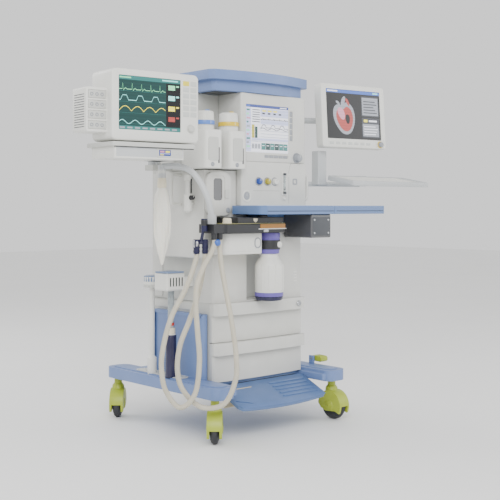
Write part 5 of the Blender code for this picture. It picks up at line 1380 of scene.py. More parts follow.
# %% [markdown]
# ## Breathing system
#
# Under the worktop a black block carries the patient's gas. On it stand the two one-way valves, whose amber
# discs are seen through their domes, the pressure-relief valve and a lever. The absorber canister hangs
# below it on a violet bayonet ring, and the ventilator's white bowl hangs beside it.

# %% Breathing block and what stands on it
BLOCK_Y0, BLOCK_Y1 = edges_of("breathing_block")[2:4]
repaint("breathing_block", black_abs)
top_plate = plate("block_top_plate", rounded(-0.300, 0.028, BLOCK_Y0 + 0.002, BLOCK_Y1 - 0.002, 0.014),
    "XY", 0.8622, 0.8646)
dress(top_plate, olive_disc, edge=0.0006)
amber = plate("amber_valve_strip", rounded(-0.120, 0.020, -0.3612, -0.3602, 0.0004), "XY", 0.843, 0.8605)
dress(amber, amber_disc)
line = block("block_white_line", -0.130, 0.026, -0.3614, -0.3600, 0.8395, 0.8425)
dress(line, white_abs)
domes, discs, seats = [], [], []
for x in (-0.212, -0.178):
    seats.append(turned("seat", [(0, 0.008), (0.0145, 0.008), (0.0165, 0.005), (0.0165, 0.0), (0, 0)],
            (x, -0.330, 0.8646), None, 28))
    discs.append(turned("disc", [(0, 0.0098), (0.0085, 0.0098), (0.0085, 0.0080), (0, 0.0080)],
            (x, -0.330, 0.8646), None, 24))
    domes.append(turned("dome", [(0, 0.0215), (0.006, 0.0205), (0.0105, 0.0170), (0.0128, 0.0120),
                (0.0130, 0.0085), (0.0118, 0.0085), (0.0112, 0.0140), (0.0085, 0.0175), (0, 0.0195)],
            (x, -0.330, 0.8646), None, 28))
dress(join("valve_seats", seats), dark_abs_and_painted_shade, edge=0.0005)
dress(join("valve_discs", discs), amber_disc)
dress(join("valve_domes", domes), clear_acrylic)
cup = turned("cream_valve_cup", [(0, 0.020), (0.016, 0.020), (0.018, 0.018), (0.0165, 0.010),
        (0.012, 0.001), (0, 0.0)], (-0.135, -0.335, 0.8646), None, 36)
dress(cup, cream_abs)
barrel = turned("pressure_sensor_barrel", [(0, 0.017), (0.010, 0.017), (0.0112, 0.0155), (0.0112, 0.012),
        (0.0098, 0.011), (0.0098, 0.004), (0.0112, 0.003), (0.0112, 0.0), (0, 0)], (-0.100, -0.335, 0.8646),
    None, 32)
dress(barrel, chrome)
lever = pipe("bag_selector_lever", ((-0.112, -0.322, 0.882), (-0.095, -0.338, 0.892),
        (-0.075, -0.352, 0.893)), 0.0045, 4, 0.003)
dress(lever, black_abs)
key_plate = plate("silver_key", rounded(-0.105, -0.078, 0.828, 0.838, 0.003), "XZ", -0.3640, -0.3604)
dress(key_plate, steel, edge=0.0008)
screws = [turned("screw", cap_outline(0.004, 0.005, 0.0012, 0.0004), (x, y, 0.8646), None, 18)
          for x in (-0.290, -0.060, 0.015) for y in (-0.348, -0.248)]
dress(join("block_screws", screws), steel)

# %% [markdown]
# The relief valve's cap is fluted and has one mark, because its setting is felt as much as read.

# %% Pressure-relief valve
x0, x1, y0, y1, z0, z1 = edges_of("apl_valve")
radius, height = (x1 - x0) / 2, z1 - z0
place = ((x0 + x1) / 2, (y0 + y1) / 2, z0)
valve = turned("apl_valve_cap", [(0, height), (radius * 0.6, height), (radius * 0.85, height - 0.002),
        (radius * 0.92, height - 0.006), (radius * 0.92, height * 0.35), (radius, height * 0.28),
        (radius, 0), (0, 0)], place, None, 32)
fluted(valve, place, "Z", 32)
dress(valve, cream_abs, "apl_valve", instead_of=["apl_valve"], smooth=40)
mark = block("apl_valve_mark", place[0] - 0.0008, place[0] + 0.0008, y0 + radius * 0.15, y0 + radius * 0.75,
    z1 - 0.0005, z1 + 0.0003)
dress(mark, dark_abs_and_painted_shade, "apl_valve", "cream_plastic")

# %% [markdown]
# The bowl is a deep moulding with large front corners. Its button lies in an oval ring, and a cream lip
# closes it below.

# %% Bowl with its ringed button
x0, x1, y0, y1, z0, z1 = edges_of("ventilator_bowl")
bowl = block("ventilator_bowl_moulding", x0, x1, y0, y1, z0, z1)
round_upright(bowl, 0.030, lambda middle, direction: abs(direction.z) > 0.9 and middle.y < (y0 + y1) / 2,
    10)
soften(bowl, 0.005, 4)
groove = block("groove", x0 - 0.01, x1 + 0.01, y0 - 0.01, y0 + 0.0014, z0 + 0.012, z0 + 0.0135)
cut(bowl, groove)
dress(bowl, white_abs, slot="pale_plastic", instead_of=["ventilator_bowl"])
button_x, button_z = x1 - 0.040, (z0 + z1) / 2 + 0.002
ring_outline = plate("bowl_button_ring", rounded(button_x - 0.017, button_x + 0.017, button_z - 0.022,
        button_z + 0.022, 0.0165, 10), "XZ", y0 - 0.0025, y0 + 0.002)
inner = plate("inner", rounded(button_x - 0.013, button_x + 0.013, button_z - 0.018, button_z + 0.018,
        0.0125, 10), "XZ", y0 - 0.01, y0 + 0.0005)
dress(cut(ring_outline, inner), grey_abs, edge=0.0006)
press = plate("bowl_button", rounded(button_x - 0.012, button_x + 0.012, button_z - 0.017, button_z + 0.017,
        0.0115, 10), "XZ", y0 - 0.0018, y0 + 0.002)
dress(press, white_abs, edge=0.0010)
lip = plate("bowl_lower_lip", rounded(x0 + 0.004, x1 - 0.004, y0 + 0.004, y1 - 0.004, 0.026, 10), "XY",
    z0 - 0.0002, z0 + 0.006)
dress(lip, cream_abs, edge=0.001)

# %% [markdown]
# The canister's neck widens in a long shoulder to a ribbed jar, and a violet ring and dark foot close it.
# Upright ribs at the front help the hand to twist it off its bayonet.

# %% Absorber adapter and canister
AXIS_X, AXIS_Y = -0.008, -0.292
adapter_z0, adapter_z1 = edges_of("absorber_adapter")[4:]
adapter = turned("absorber_adapter_bayonet", [(0, adapter_z1), (0.040, adapter_z1),
        (0.0455, adapter_z1 - 0.003), (0.046, adapter_z1 - 0.010), (0.046, 0.802), (0.0445, 0.800),
        (0.0445, 0.797), (0.046, 0.795), (0.046, adapter_z0 + 0.016), (0.043, adapter_z0 + 0.010),
        (0.043, adapter_z0), (0, adapter_z0)], (AXIS_X, AXIS_Y, 0), None, 56)
dress(adapter, soft_purple, instead_of=["absorber_adapter"])
band_black = turned("absorber_adapter_band", [(0.0455, 0.793), (0.0468, 0.792), (0.0472, 0.788),
        (0.0472, 0.758), (0.0465, 0.754), (0.0455, 0.753), (0.0455, 0.793)], (AXIS_X, AXIS_Y, 0), None, 56)
dress(band_black, black_abs)
oval = plate("absorber_adapter_badge", rounded(AXIS_X + 0.004, AXIS_X + 0.030, 0.762, 0.786, 0.011, 8),
    "XZ", AXIS_Y - 0.0478, AXIS_Y - 0.034)
dress(oval, white_abs, edge=0.0012)
can_z0, can_z1 = edges_of("absorber_canister")[4:]
can = turned("absorber_canister_jar", [(0, can_z1), (0.036, can_z1), (0.038, can_z1 - 0.002),
        (0.038, can_z1 - 0.010), (0.043, can_z1 - 0.018), (0.056, can_z1 - 0.040), (0.0592, can_z1 - 0.050),
        (0.060, can_z1 - 0.060), (0.060, can_z0 + 0.036), (0.0588, can_z0 + 0.034),
        (0.0588, can_z0 + 0.020), (0, can_z0 + 0.020)], (AXIS_X, AXIS_Y, 0), None, 64)
dress(can, white_abs, "absorber_canister", instead_of=["absorber_canister"])
foot_ring = turned("absorber_canister_ring", [(0.0580, can_z0 + 0.034), (0.0595, can_z0 + 0.0335),
        (0.0598, can_z0 + 0.018), (0.0580, can_z0 + 0.017), (0.0580, can_z0 + 0.034)], (AXIS_X, AXIS_Y, 0),
    None, 64)
dress(foot_ring, soft_purple, "absorber_canister")
foot = turned("absorber_canister_foot", [(0, can_z0 + 0.018), (0.0575, can_z0 + 0.018),
        (0.0585, can_z0 + 0.014), (0.0560, can_z0 + 0.003), (0.052, can_z0), (0, can_z0)],
    (AXIS_X, AXIS_Y, 0), None, 64)
dress(foot, dark_purple, "absorber_canister", "purple_plastic")
ribs = []
for i in range(6):
    angle = math.radians(200 + 28 * i)
    ribs.append(turned("rib", [(0, 0.110), (0.0030, 0.108), (0.0034, 0.004), (0, 0.0)],
            (AXIS_X + 0.0590 * math.cos(angle), AXIS_Y + 0.0590 * math.sin(angle), can_z0 + 0.040), None,
            10))
dress(join("absorber_canister_ribs", ribs), white_abs, "absorber_canister")
print("absorber is", round(can_z1 - can_z0, 3), "m tall")

# %% [markdown]
# ## Worktop
#
# The top is a laminated board with its blue edge band. Its flap is hinged at the right and can fold down
# beside the machine. The smoked plastic guard under it shields the block from knocks.

# %% Worktop, flap and guard
x0, x1, y0, y1, z0, z1 = edges_of("worktop")
TOP_Z0 = 0.900
board = repaint("worktop", worktop_laminate)
strip = block("worktop_front_channel", x0 + 0.030, x1 - 0.004, y0 - 0.0006, y0 + 0.001, TOP_Z0 + 0.012,
    TOP_Z0 + 0.0145)
dress(strip, seam_dark, slot="blue_edge_laminate")
repaint("worktop_leaf", worktop_laminate)
leaf_x0, leaf_x1, leaf_y0 = edges_of("worktop_leaf")[:3]
leaf_strip = block("worktop_leaf_channel", leaf_x0 + 0.012, leaf_x1 - 0.020, leaf_y0 - 0.0006,
    leaf_y0 + 0.001, TOP_Z0 + 0.012, TOP_Z0 + 0.0145)
dress(leaf_strip, seam_dark, "worktop_leaf", "blue_edge_laminate")
mat = plate("worktop_mat", rounded(x0 + 0.030, x1 - 0.012, y0 + 0.022, -0.246, 0.010), "XY", z1 - 0.0002,
    z1 + 0.0016)
dress(mat, moulded("cast_rubber_mat_pale_blue", "#c6d0e0", "#b6c2d6", 0.62, 1.8, 0.25),
    slot="blue_edge_laminate", edge=0.0006)
repaint("leaf_bracket", smoked_acrylic)
guard_x0, guard_x1, guard_y0 = edges_of("leaf_bracket")[:3]
guard_z0, guard_z1 = edges_of("leaf_bracket")[4:]
guard = plate("leaf_bracket_face", rounded(guard_x0 + 0.008, guard_x1 - 0.008, guard_z0 + 0.010,
        guard_z1 - 0.012, 0.006), "XZ", guard_y0 - 0.0012, guard_y0 + 0.001)
dress(guard, dark_abs_and_painted_shade, slot="smoked_plastic", edge=0.0006)
guard_screws = [turned("screw", cap_outline(0.0035, 0.0045, 0.0014, 0.0004), (x, guard_y0 - 0.0012, z),
        FACING_FRONT, 18) for x in (guard_x0 + 0.018, guard_x1 - 0.018)
    for z in (guard_z0 + 0.020, guard_z1 - 0.024)]
dress(join("leaf_bracket_screws", guard_screws), steel)

# %% [markdown]
# ## Left side
#
# The bag arm is a bent tube from the block's neck. The reservoir bag hangs limp from it, because the system
# is not charged: its milky silicone falls in long folds and closes to a flat tip. It starts as a turned
# bag, is pressed flat, and a slow noise and a row of folds crumple it.

# %% Bag arm, collar and limp bag
repaint("bag_arm", arm_coat)
bag_x0, bag_x1, bag_y0, bag_y1, bag_z0, bag_z1 = edges_of("breathing_bag")
BAG_TURN = Matrix.Rotation(math.radians(-42.0), 4, "Z")
bag_x, bag_y = (bag_x0 + bag_x1) / 2, (bag_y0 + bag_y1) / 2
bag_stand = Matrix.Translation(ORIGIN + Vector((bag_x, bag_y,
            bag_z1))) @ BAG_TURN @ Matrix.Translation(-ORIGIN)
drop = bag_z1 - bag_z0
knots = [(0.0, 0.0145), (0.06, 0.0160), (0.12, 0.0205), (0.19, 0.0290), (0.30, 0.0345), (0.42, 0.0362),
    (0.54, 0.0362), (0.64, 0.0345), (0.74, 0.0290), (0.82, 0.0215), (0.89, 0.0135), (0.95, 0.0080),
    (0.985, 0.0055), (1.0, 0.0)]


def bag_radius(share):
    """The bag's half width at a share of its length, on a smooth line through its knots."""
    for (a, r0), (b, r1) in zip(knots, knots[1:]):
        if share <= b:
            t = (share - a) / (b - a)
            return r0 + (r1 - r0) * t
    return 0.0


rows = 60
bag = turned("breathing_bag_limp", [(0, 0)] + [(bag_radius(i / rows), -drop * i / rows)
        for i in range(rows + 1)], (0, 0, 0), steps=64)
only(bag)
bpy.ops.object.mode_set(mode="EDIT")
shape = bmesh.from_edit_mesh(bag.data)
for vertex in shape.verts:
    place = vertex.co - ORIGIN
    share = -place.z / drop
    turn = math.atan2(place.y, place.x)
    slack = math.sin(math.pi * min(1.0, max(0.0, (share - 0.08) / 0.90)))
    fold = 0.13 * math.cos(5 * turn
        + 4.0 * share) + 0.09 * math.cos(9 * turn - 7.0 * share) + 0.06 * math.cos(14 * turn + 2.0)
    grow = 1.0 - slack * max(0.0, fold + 0.10)
    flat = 0.80 - 0.30 * slack
    vertex.co = ORIGIN + Vector((place.x * min(1.0, grow), place.y * flat * grow, place.z))
bmesh.update_edit_mesh(bag.data)
leave()
noise = bpy.data.textures.new("bag_crumple", "CLOUDS")
noise.noise_scale = 0.030
crumple = bag.modifiers.new("crumple", "DISPLACE")
crumple.texture = noise
crumple.texture_coords = "GLOBAL"
crumple.strength = 0.0022
crumple.mid_level = 0.75
only(bag)
bpy.ops.object.modifier_apply(modifier=crumple.name)
freeze(bag, bag_stand)
dress(bag, bag_silicone, "bag_arm", instead_of=["breathing_bag"], smooth=80)
neck = turned("bag_neck_collar", [(0.0125, 0.006), (0.0165, 0.005), (0.0172, -0.004), (0.0185, -0.012),
        (0.0185, -0.030), (0.0172, -0.034), (0.0150, -0.034), (0.0150, -0.002), (0.0125, 0.0),
        (0.0125, 0.006)], (bag_x, bag_y, bag_z1), steps=36)
dress(neck, cream_abs, "bag_arm", "silicone")
elbow = turned("bag_elbow_sleeve", [(0.0128, 0.020), (0.0155, 0.019), (0.0160, 0.0), (0.0155, -0.018),
        (0.0128, -0.019), (0.0128, 0.020)], (bag_x, bag_y, bag_z1 + 0.030), steps=32)
dress(elbow, white_abs, "bag_arm", "silicone")
print("bag hangs", round(drop, 3), "m")

# %% [markdown]
# The patient end of the hoses is parked on the block's side: a black knob, two midnight sleeves, a blue ball
# connector and a chromed clip.

# %% Parked patient connector
repaint("y_piece", sleeve_blue)
PARK = (-0.3745, -0.312, 0.862)
knob = turned("y_piece_knob", [(0, 0.0225), (0.009, 0.0225), (0.0125, 0.020), (0.0136, 0.015),
        (0.0136, -0.004), (0.0125, -0.006), (0, -0.006)], PARK, None, 32)
dress(knob, black_abs)
rings = [turned("ring", [(0.0125, 0.003), (0.0138, 0.002), (0.0138, -0.002), (0.0125, -0.003),
            (0.0125, 0.003)], (x, y, z), None, 28) for x, y in ((-0.399, -0.294), (-0.368, -0.309))
    for z in (0.757, 0.772, 0.794)]
dress(join("y_piece_rings", rings), dark_purple, slot="black_plastic")
clip = [block("clip", -0.4140, -0.4125, -0.300, -0.288, 0.772, 0.800),
    block("clip", -0.4125, -0.4000, -0.3068, -0.3062, 0.776, 0.796)]
dress(join("y_piece_clip", clip), chrome, edge=0.0004)
ball = turned("blue_connector", [(0, 0.0), (0.010, -0.001), (0.0145, -0.006), (0.0160, -0.013),
        (0.0145, -0.020), (0.010, -0.025), (0, -0.026)], (-0.337, -0.344, 0.803), None, 32)
dress(ball, ball_blue)

# %% [markdown]
# The scavenging receiver is a slotted box on a clear tube. The red float in the tube shows the suction's
# flow.

# %% Scavenging receiver, its float and ribs
repaint("scavenging_receiver", white_abs)
rx, ry = -0.338, -0.050
lid = block("receiver_lid", rx - 0.054, rx + 0.039, ry - 0.044, ry + 0.044, 0.6582, 0.6640)
dress(round_upright(lid, 0.010), jar_blue, edge=0.0012)
slots = [block("slot", rx - 0.040 + 0.015 * i, rx - 0.034 + 0.015 * i, ry - 0.0454, ry - 0.0446, 0.604,
        0.640) for i in range(5)]
dress(join("receiver_slots", slots), black_abs)
glass = turned("receiver_tube_shell", [(0.0122, 0.600), (0.0134, 0.598), (0.0134, 0.428), (0.0122, 0.426),
        (0.0122, 0.600)], (rx, ry, 0), None, 32)
dress(glass, glass_pane)
float_disc = turned("receiver_float", [(0.0122, 0.452), (0.0137, 0.451), (0.0137, 0.440), (0.0122, 0.439),
        (0.0122, 0.452)], (rx, ry, 0), None, 28)
dress(float_disc, float_red, slot="yellow_knob")
collar_low = turned("receiver_collar", [(0.0122, 0.430), (0.0175, 0.428), (0.0180, 0.408), (0.0160, 0.404),
        (0.0122, 0.404), (0.0122, 0.430)], (rx, ry, 0), None, 32)
dress(collar_low, cream_abs)
rail_top = 0.2228
cone = turned("receiver_foot", [(0.0212, 0.401), (0.0222, 0.399), (0.0222, 0.330),
        (0.0240, rail_top + 0.004), (0.0240, rail_top), (0.0212, rail_top), (0.0212, 0.401)], (rx, ry, 0),
    None, 40)
dress(cone, dark_purple, slot="blue_plastic")

# %% [markdown]
# The suction jar has a blue-grey lid and two hoops, and stands on its own pillar.

# %% Suction jar and its pillar
repaint("suction_jar", white_abs)
sx, sy = centre_of("suction_jar")[:2]
jar_lid = turned("suction_jar_lid", [(0, 0.6408), (0.028, 0.6405), (0.0355, 0.637), (0.0358, 0.6150),
        (0.0340, 0.6120), (0, 0.6120)], (sx, sy, 0), None, 40)
dress(jar_lid, jar_blue)
hoops = [turned("hoop", [(0.0350, z + 0.003), (0.0361, z + 0.002), (0.0361, z - 0.002), (0.0350, z - 0.003),
            (0.0350, z + 0.003)], (sx, sy, 0), None, 40) for z in (0.600, 0.592)]
dress(join("suction_jar_hoops", hoops), casing_shade)

# %% [markdown]
# A small flowmeter for the oxygen outlet: a dark scale in a white block, with a fluted black knob.

# %% Oxygen flowmeter
repaint("oxygen_flowmeter", white_abs)
meter_x0, meter_x1, meter_y0, meter_y1 = edges_of("oxygen_flowmeter")[:4]
meter_top = edges_of("oxygen_flowmeter")[5]
meter_x, meter_y = (meter_x0 + meter_x1) / 2, (meter_y0 + meter_y1) / 2 - 0.002
cap = turned("flowmeter_cap", cap_outline(0.010, 0.0125, 0.012, 0.010, 0.0),
    (meter_x, meter_y, meter_top - 0.0118), None, 28)
dress(cap, black_abs)
column = block("flowmeter_scale", meter_x - 0.0035, meter_x + 0.0035, meter_y0 - 0.0004, meter_y0 + 0.002,
    0.985, 1.045)
dress(column, black_abs, edge=0.0004)
ticks = [block("tick", meter_x - 0.0030, meter_x - 0.0005 - 0.001 * (i % 2), meter_y0 - 0.0007,
        meter_y0 - 0.0003, 0.990 + 0.006 * i, 0.9905 + 0.006 * i) for i in range(9)]
dress(join("flowmeter_ticks", ticks), white_abs)
front_knob("oxygen_flow_knob", black_abs, "black_plastic", white_abs, 16)
print("left side is furnished")

# %% [markdown]
# ## Patient monitor on its shelf
#
# The monitor is a deep moulded case with its screen sunk a few millimetres, a keypad and a knob at the
# right, and a rack for plug-in modules on its left. It stands on a swinging shelf with a recorder and a gas
# module clamped under it.

# %% Shelf and its modules
def stood(piece, stand):
    """Moves a piece drawn at the machine's origin to where a turned part stands."""
    return freeze(piece, stand @ Matrix.Translation(-ORIGIN))


STANDS = {}                    # where each turned body's own origin is


def fit(piece, material, body, *slot, **finish):
    """Stands a piece on its turned body and dresses it."""
    return dress(stood(piece, STANDS[body]), material, body, *slot, **finish)


repaint("monitor_shelf", arm_coat)
SHELF_STAND = STANDS["monitor_shelf"] = Matrix.Translation(ORIGIN
    + Vector((-0.640, -0.262, 1.1585))) @ Matrix.Rotation(math.radians(-4.0), 4, "Z")
tray = round_upright(block("monitor_shelf_tray", -0.1802, 0.1802, -0.1002, 0.1002, -0.0082, 0.0082), 0.010)
fit(soften(tray, 0.0015), casing_shade, "monitor_shelf")
line = block("monitor_shelf_shadow_line", -0.172, 0.172, -0.0985, -0.094, -0.0112, -0.0084)
fit(line, black_abs, "monitor_shelf")
module = round_upright(block("shelf_module_case", -0.1705, 0.1305, -0.0940, 0.0780, -0.0510, -0.0040),
    0.006)
ribs = [block("rib", -0.150 + 0.012 * i, -0.146 + 0.012 * i, -0.10, -0.0925, -0.045, -0.014)
    for i in range(9)]
cut(module, *ribs)
fit(soften(module, 0.0010, 2), white_abs, "monitor_shelf")
pane = block("shelf_module_front", 0.010, 0.122, -0.0950, -0.0930, -0.046, -0.010)
fit(pane, casing_shade, "monitor_shelf", edge=0.0008)
picture("shelf_module_display", "monitor_shelf", SHELF_STAND @ Matrix.Translation((0, -0.0950, 0)),
    (0.018, 0.070, -0.038, -0.016), [("navy", 0, 1, 0, 1), ("pink", 0.08, 0.45, 0.15, 0.45),
        ("yellow", 0.55, 0.92, 0.15, 0.45), ("lavender", 0.08, 0.92, 0.60, 0.70),
        ("yellow", 0.08, 0.40, 0.78, 0.90)])
buttons = [block("button", 0.080 + 0.013 * i, 0.088 + 0.013 * i, -0.0965, -0.0945, -0.032, -0.024)
    for i in range(3)]
fit(join("shelf_module_buttons", buttons), button_grey, "monitor_shelf", edge=0.0008)
clamp = round_upright(block("shelf_clamp_block", 0.054, 0.136, -0.001, 0.080, -0.0510, -0.0200), 0.006)
fit(soften(clamp, 0.002), grey_abs, "monitor_shelf")
grip = turned("shelf_clamp_knob", [(0, 0.020), (0.012, 0.020), (0.014, 0.018), (0.014, 0.004),
        (0.006, 0.003), (0.006, 0.0), (0, 0.0)], (0.095, -0.001, -0.036), FACING_FRONT, 24)
fit(grip, black_abs, "monitor_shelf")

# %% [markdown]
# The case's four long corners, which run front to back, are rounded by 20 mm, and then its edges are
# softened. The rack has four bays: each is cut first, and a module is set in it.

# %% Monitor case, rack and foot
MONITOR_STAND = STANDS["patient_monitor"] = Matrix.Translation(ORIGIN
    + Vector((-0.630, -0.345, 1.1725))) @ Matrix.Rotation(math.radians(-4.0), 4, "Z")
case = block("patient_monitor_case", -0.190, 0.190, 0.0, 0.150, 0.0, 0.262)
round_upright(case, 0.020, along_depth, 8)
soften(case, 0.006, 4)
pocket = round_upright(block("pocket", -0.162, 0.108, -0.02, 0.004, 0.040, 0.238), 0.004, along_depth)
cut(case, pocket)
rack = round_upright(block("module_rack_case", -0.275, -0.180, 0.035, 0.140, 0.028, 0.190), 0.008,
    along_depth)
soften(rack, 0.003)
bays = [block("bay", -0.268, -0.193, 0.03, 0.0375, 0.038 + 0.037 * i, 0.069 + 0.037 * i) for i in range(4)]
cut(rack, *bays)
fit(join("patient_monitor_case", [case, rack]), white_abs, "patient_monitor",
    instead_of=["patient_monitor"])
foot = turned("patient_monitor_foot", cap_outline(0.046, 0.050, 0.004, 0.001, -0.0055), (0, 0.080, 0), None,
    48)
fit(foot, dark_abs_and_painted_shade, "patient_monitor")
modules = []
for i in range(4):
    modules.append(soften(block("module", -0.2665, -0.1945, 0.0345, 0.0372, 0.0395 + 0.037 * i,
                0.0675 + 0.037 * i), 0.001, 2))
fit(join("rack_modules", modules), casing_shade, "patient_monitor")
ports = [turned("port", [(0.0035, 0.0), (0.0045, 0.0014), (0.0062, 0.0014), (0.0068, -0.001),
            (0.0035, -0.001), (0.0035, 0.0)], (-0.253 + 0.021 * j, 0.0345, 0.0535 + 0.037 * i),
        FACING_FRONT, 20) for i in range(4) for j in range(3)]
fit(join("rack_ports", ports), grey_abs, "patient_monitor")
vents = [block("vent", -0.2753, -0.2740, 0.050, 0.125, 0.045 + 0.009 * i, 0.048 + 0.009 * i)
    for i in range(14)]
vents += [block("vent", -0.150 + 0.012 * i, -0.144 + 0.012 * i, 0.1495, 0.1504, 0.150, 0.225)
    for i in range(26)]
fit(join("monitor_vents", vents), dark_abs_and_painted_shade, "patient_monitor")
back_plate = plate("monitor_back_plate", rounded(-0.150, 0.150, 0.030, 0.135, 0.010), "XZ", 0.1498, 0.1522)
fit(back_plate, casing_shade, "patient_monitor", edge=0.0008)

# %% [markdown]
# The screen shows four traces with their readings, and two columns of keys stand beside it. The key at the
# top left is amber, for the alarm.

# %% Monitor screen, keypad and knob
tiles = [("deep_green", 0, 1, 0, 1), ("teal", 0, 1, 0, 0.075), ("green", 0.02, 0.20, 0.025, 0.05),
    ("cyan", 0.70, 0.96, 0.025, 0.05), ("black", 0.765, 1.0, 0.09, 0.91), ("teal", 0, 1, 0.925, 1.0)]
tiles += [("teal", 0.0, 0.76, 0.285 + 0.20 * i, 0.289 + 0.20 * i) for i in range(4)]
tiles += [(("green", "cyan", "yellow", "red")[i], 0.80, 0.91, 0.12 + 0.20 * i, 0.21 + 0.20 * i)
    for i in range(4)]
tiles += [(("green", "cyan", "yellow", "red")[i], 0.93, 0.975, 0.12 + 0.20 * i, 0.15 + 0.20 * i)
    for i in range(4)]
tiles += [("grey", 0.02 + 0.12 * i, 0.10 + 0.12 * i, 0.945, 0.975) for i in range(8)]
for index, (tone, shape, height) in enumerate((("green", beat, 0.12), ("cyan", breath, 0.09),
            ("yellow", lambda t: abs(math.sin(12 * t)), 0.09),
            ("cyan", lambda t: math.sin(23 * t) * 0.5, 0.07))):
    tiles.append((tone, [(0.01 + 0.74 * u, v) for u, v in wave(90, height, 0.255 + 0.20 * index, shape)],
            0.0022))
picture("patient_monitor_picture", "patient_monitor", MONITOR_STAND @ Matrix.Translation((0, 0.004, 0)),
    (-0.162, 0.108, 0.040, 0.238), tiles)
keys = [soften(block("key", 0.118 + 0.034 * c, 0.146 + 0.034 * c, -0.0012, 0.002, 0.100 + 0.0235 * r,
            0.118 + 0.0235 * r), 0.0012, 2) for c in range(2) for r in range(6) if (c, r) != (0, 5)]
fit(join("monitor_keypad", keys), button_grey, "patient_monitor")
alarm = block("monitor_alarm_key", 0.118, 0.146, -0.0012, 0.002, 0.2175, 0.2355)
fit(alarm, button_amber, "patient_monitor", edge=0.0012)
dial = turned("monitor_dial_knob", [(0, 0.0124), (0.010, 0.0124), (0.0130, 0.010), (0.0138, 0.002),
        (0.0165, 0.001), (0.0172, -0.001), (0, -0.001)], (0.152, 0.0, 0.055), FACING_FRONT, 36)
fit(dial, casing_shade, "patient_monitor", "grey_plastic")
handle_recess = plate("monitor_top_grip", rounded(-0.070, 0.070, 0.060, 0.095, 0.012), "XY", 0.2616, 0.2626)
fit(handle_recess, grey_abs, "patient_monitor")
print("patient monitor with", len(keys) + 1, "keys")

# %% [markdown]
# ## Right side
#
# A rod arm carries the data screen, turned towards the operator. Its picture is a chart of a heart beside
# two tiles of readings. Under it a second arm with an upright column carries the keyboard tray.

# %% Screen arm
repaint("screen_arm", arm_coat)
hub_x, hub_y = (HINGES["screen_arm"] - ORIGIN).xy
caps = [turned("cap", cap_outline(0.018, 0.0215, 0.004, 0.0015, -0.002), (hub_x, hub_y, 1.3700), None, 36)]
dress(join("screen_arm_hub_cap", caps), grey_abs, "screen_arm")
SCREEN_STAND = STANDS["data_screen"] = Matrix.Translation(ORIGIN
    + Vector((0.550, -0.268, 1.345))) @ Matrix.Rotation(math.radians(-8.0), 4,
    "Z") @ Matrix.Rotation(math.radians(-4.0), 4, "X")

# %% [markdown]
# The screen is a shallow case with a smaller, rounded shell behind it for its electronics, and a lug that
# its arm holds.

# %% Data screen
case = block("data_screen_case", -0.188, 0.188, 0.0, 0.050, -0.145, 0.145)
round_upright(case, 0.012, along_depth, 8)
soften(case, 0.004, 4)
pocket = round_upright(block("pocket", -0.160, 0.160, -0.02, 0.004, -0.105, 0.122), 0.004, along_depth)
cut(case, pocket)
back_shell = plate("back_shell", rounded(-0.120, 0.120, -0.090, 0.090, 0.030, 10), "XZ", 0.045, 0.0620)
soften(back_shell, 0.006, 4)
lug = soften(block("lug", -0.035, 0.035, 0.058, 0.075, -0.028, 0.028), 0.004)
fit(join("data_screen_case", [case, back_shell, lug]), white_abs, "data_screen", instead_of=["data_screen"])
vents = [block("vent", -0.095 + 0.010 * i, -0.090 + 0.010 * i, 0.0616, 0.0624, 0.050, 0.078)
    for i in range(19)]
fit(join("data_screen_vents", vents), dark_abs_and_painted_shade, "data_screen")
knob = turned("data_screen_knob", [(0, 0.0138), (0.008, 0.0138), (0.0115, 0.012), (0.0126, 0.003),
        (0.0126, -0.001), (0, -0.001)], (0.150, 0.0, -0.125), FACING_FRONT, 36)
fit(knob, grey_abs, "data_screen")
halo = turned("data_screen_knob_ring", [(0.0126, 0.0020), (0.0150, 0.0018), (0.0160, 0.0005),
        (0.0160, -0.001), (0.0126, -0.001), (0.0126, 0.0020)], (0.150, 0.0, -0.125), FACING_FRONT, 36)
fit(halo, band_yellow, "data_screen")
keys = [soften(block("key", -0.150 + 0.036 * i, -0.126 + 0.036 * i, -0.0010, 0.002, -0.131, -0.119), 0.0010,
        2) for i in range(7)]
fit(join("data_screen_keys", keys), button_grey, "data_screen")

# %% [markdown]
# The chart is drawn from closed outlines. An egg with a dent at its top makes a heart, and smaller eggs
# make its chambers and vessels.

# %% Picture of a heart and its readings
def blob(count, wide, tall, place, lean=0.0, dent=0.0):
    """A closed outline like an egg, with a dent at its top for a heart's notch."""
    points = []
    for i in range(count):
        a = 2 * math.pi * i / count
        r = 1.0 - dent * math.exp(-((a - math.pi / 2) / 0.45) ** 2) + 0.04 * math.sin(3 * a + lean)
        x, z = wide * r * math.cos(a), tall * r * math.sin(a)
        points.append((place[0] + x * math.cos(lean) - z * math.sin(lean),
                place[1] + x * math.sin(lean) + z * math.cos(lean)))
    return points


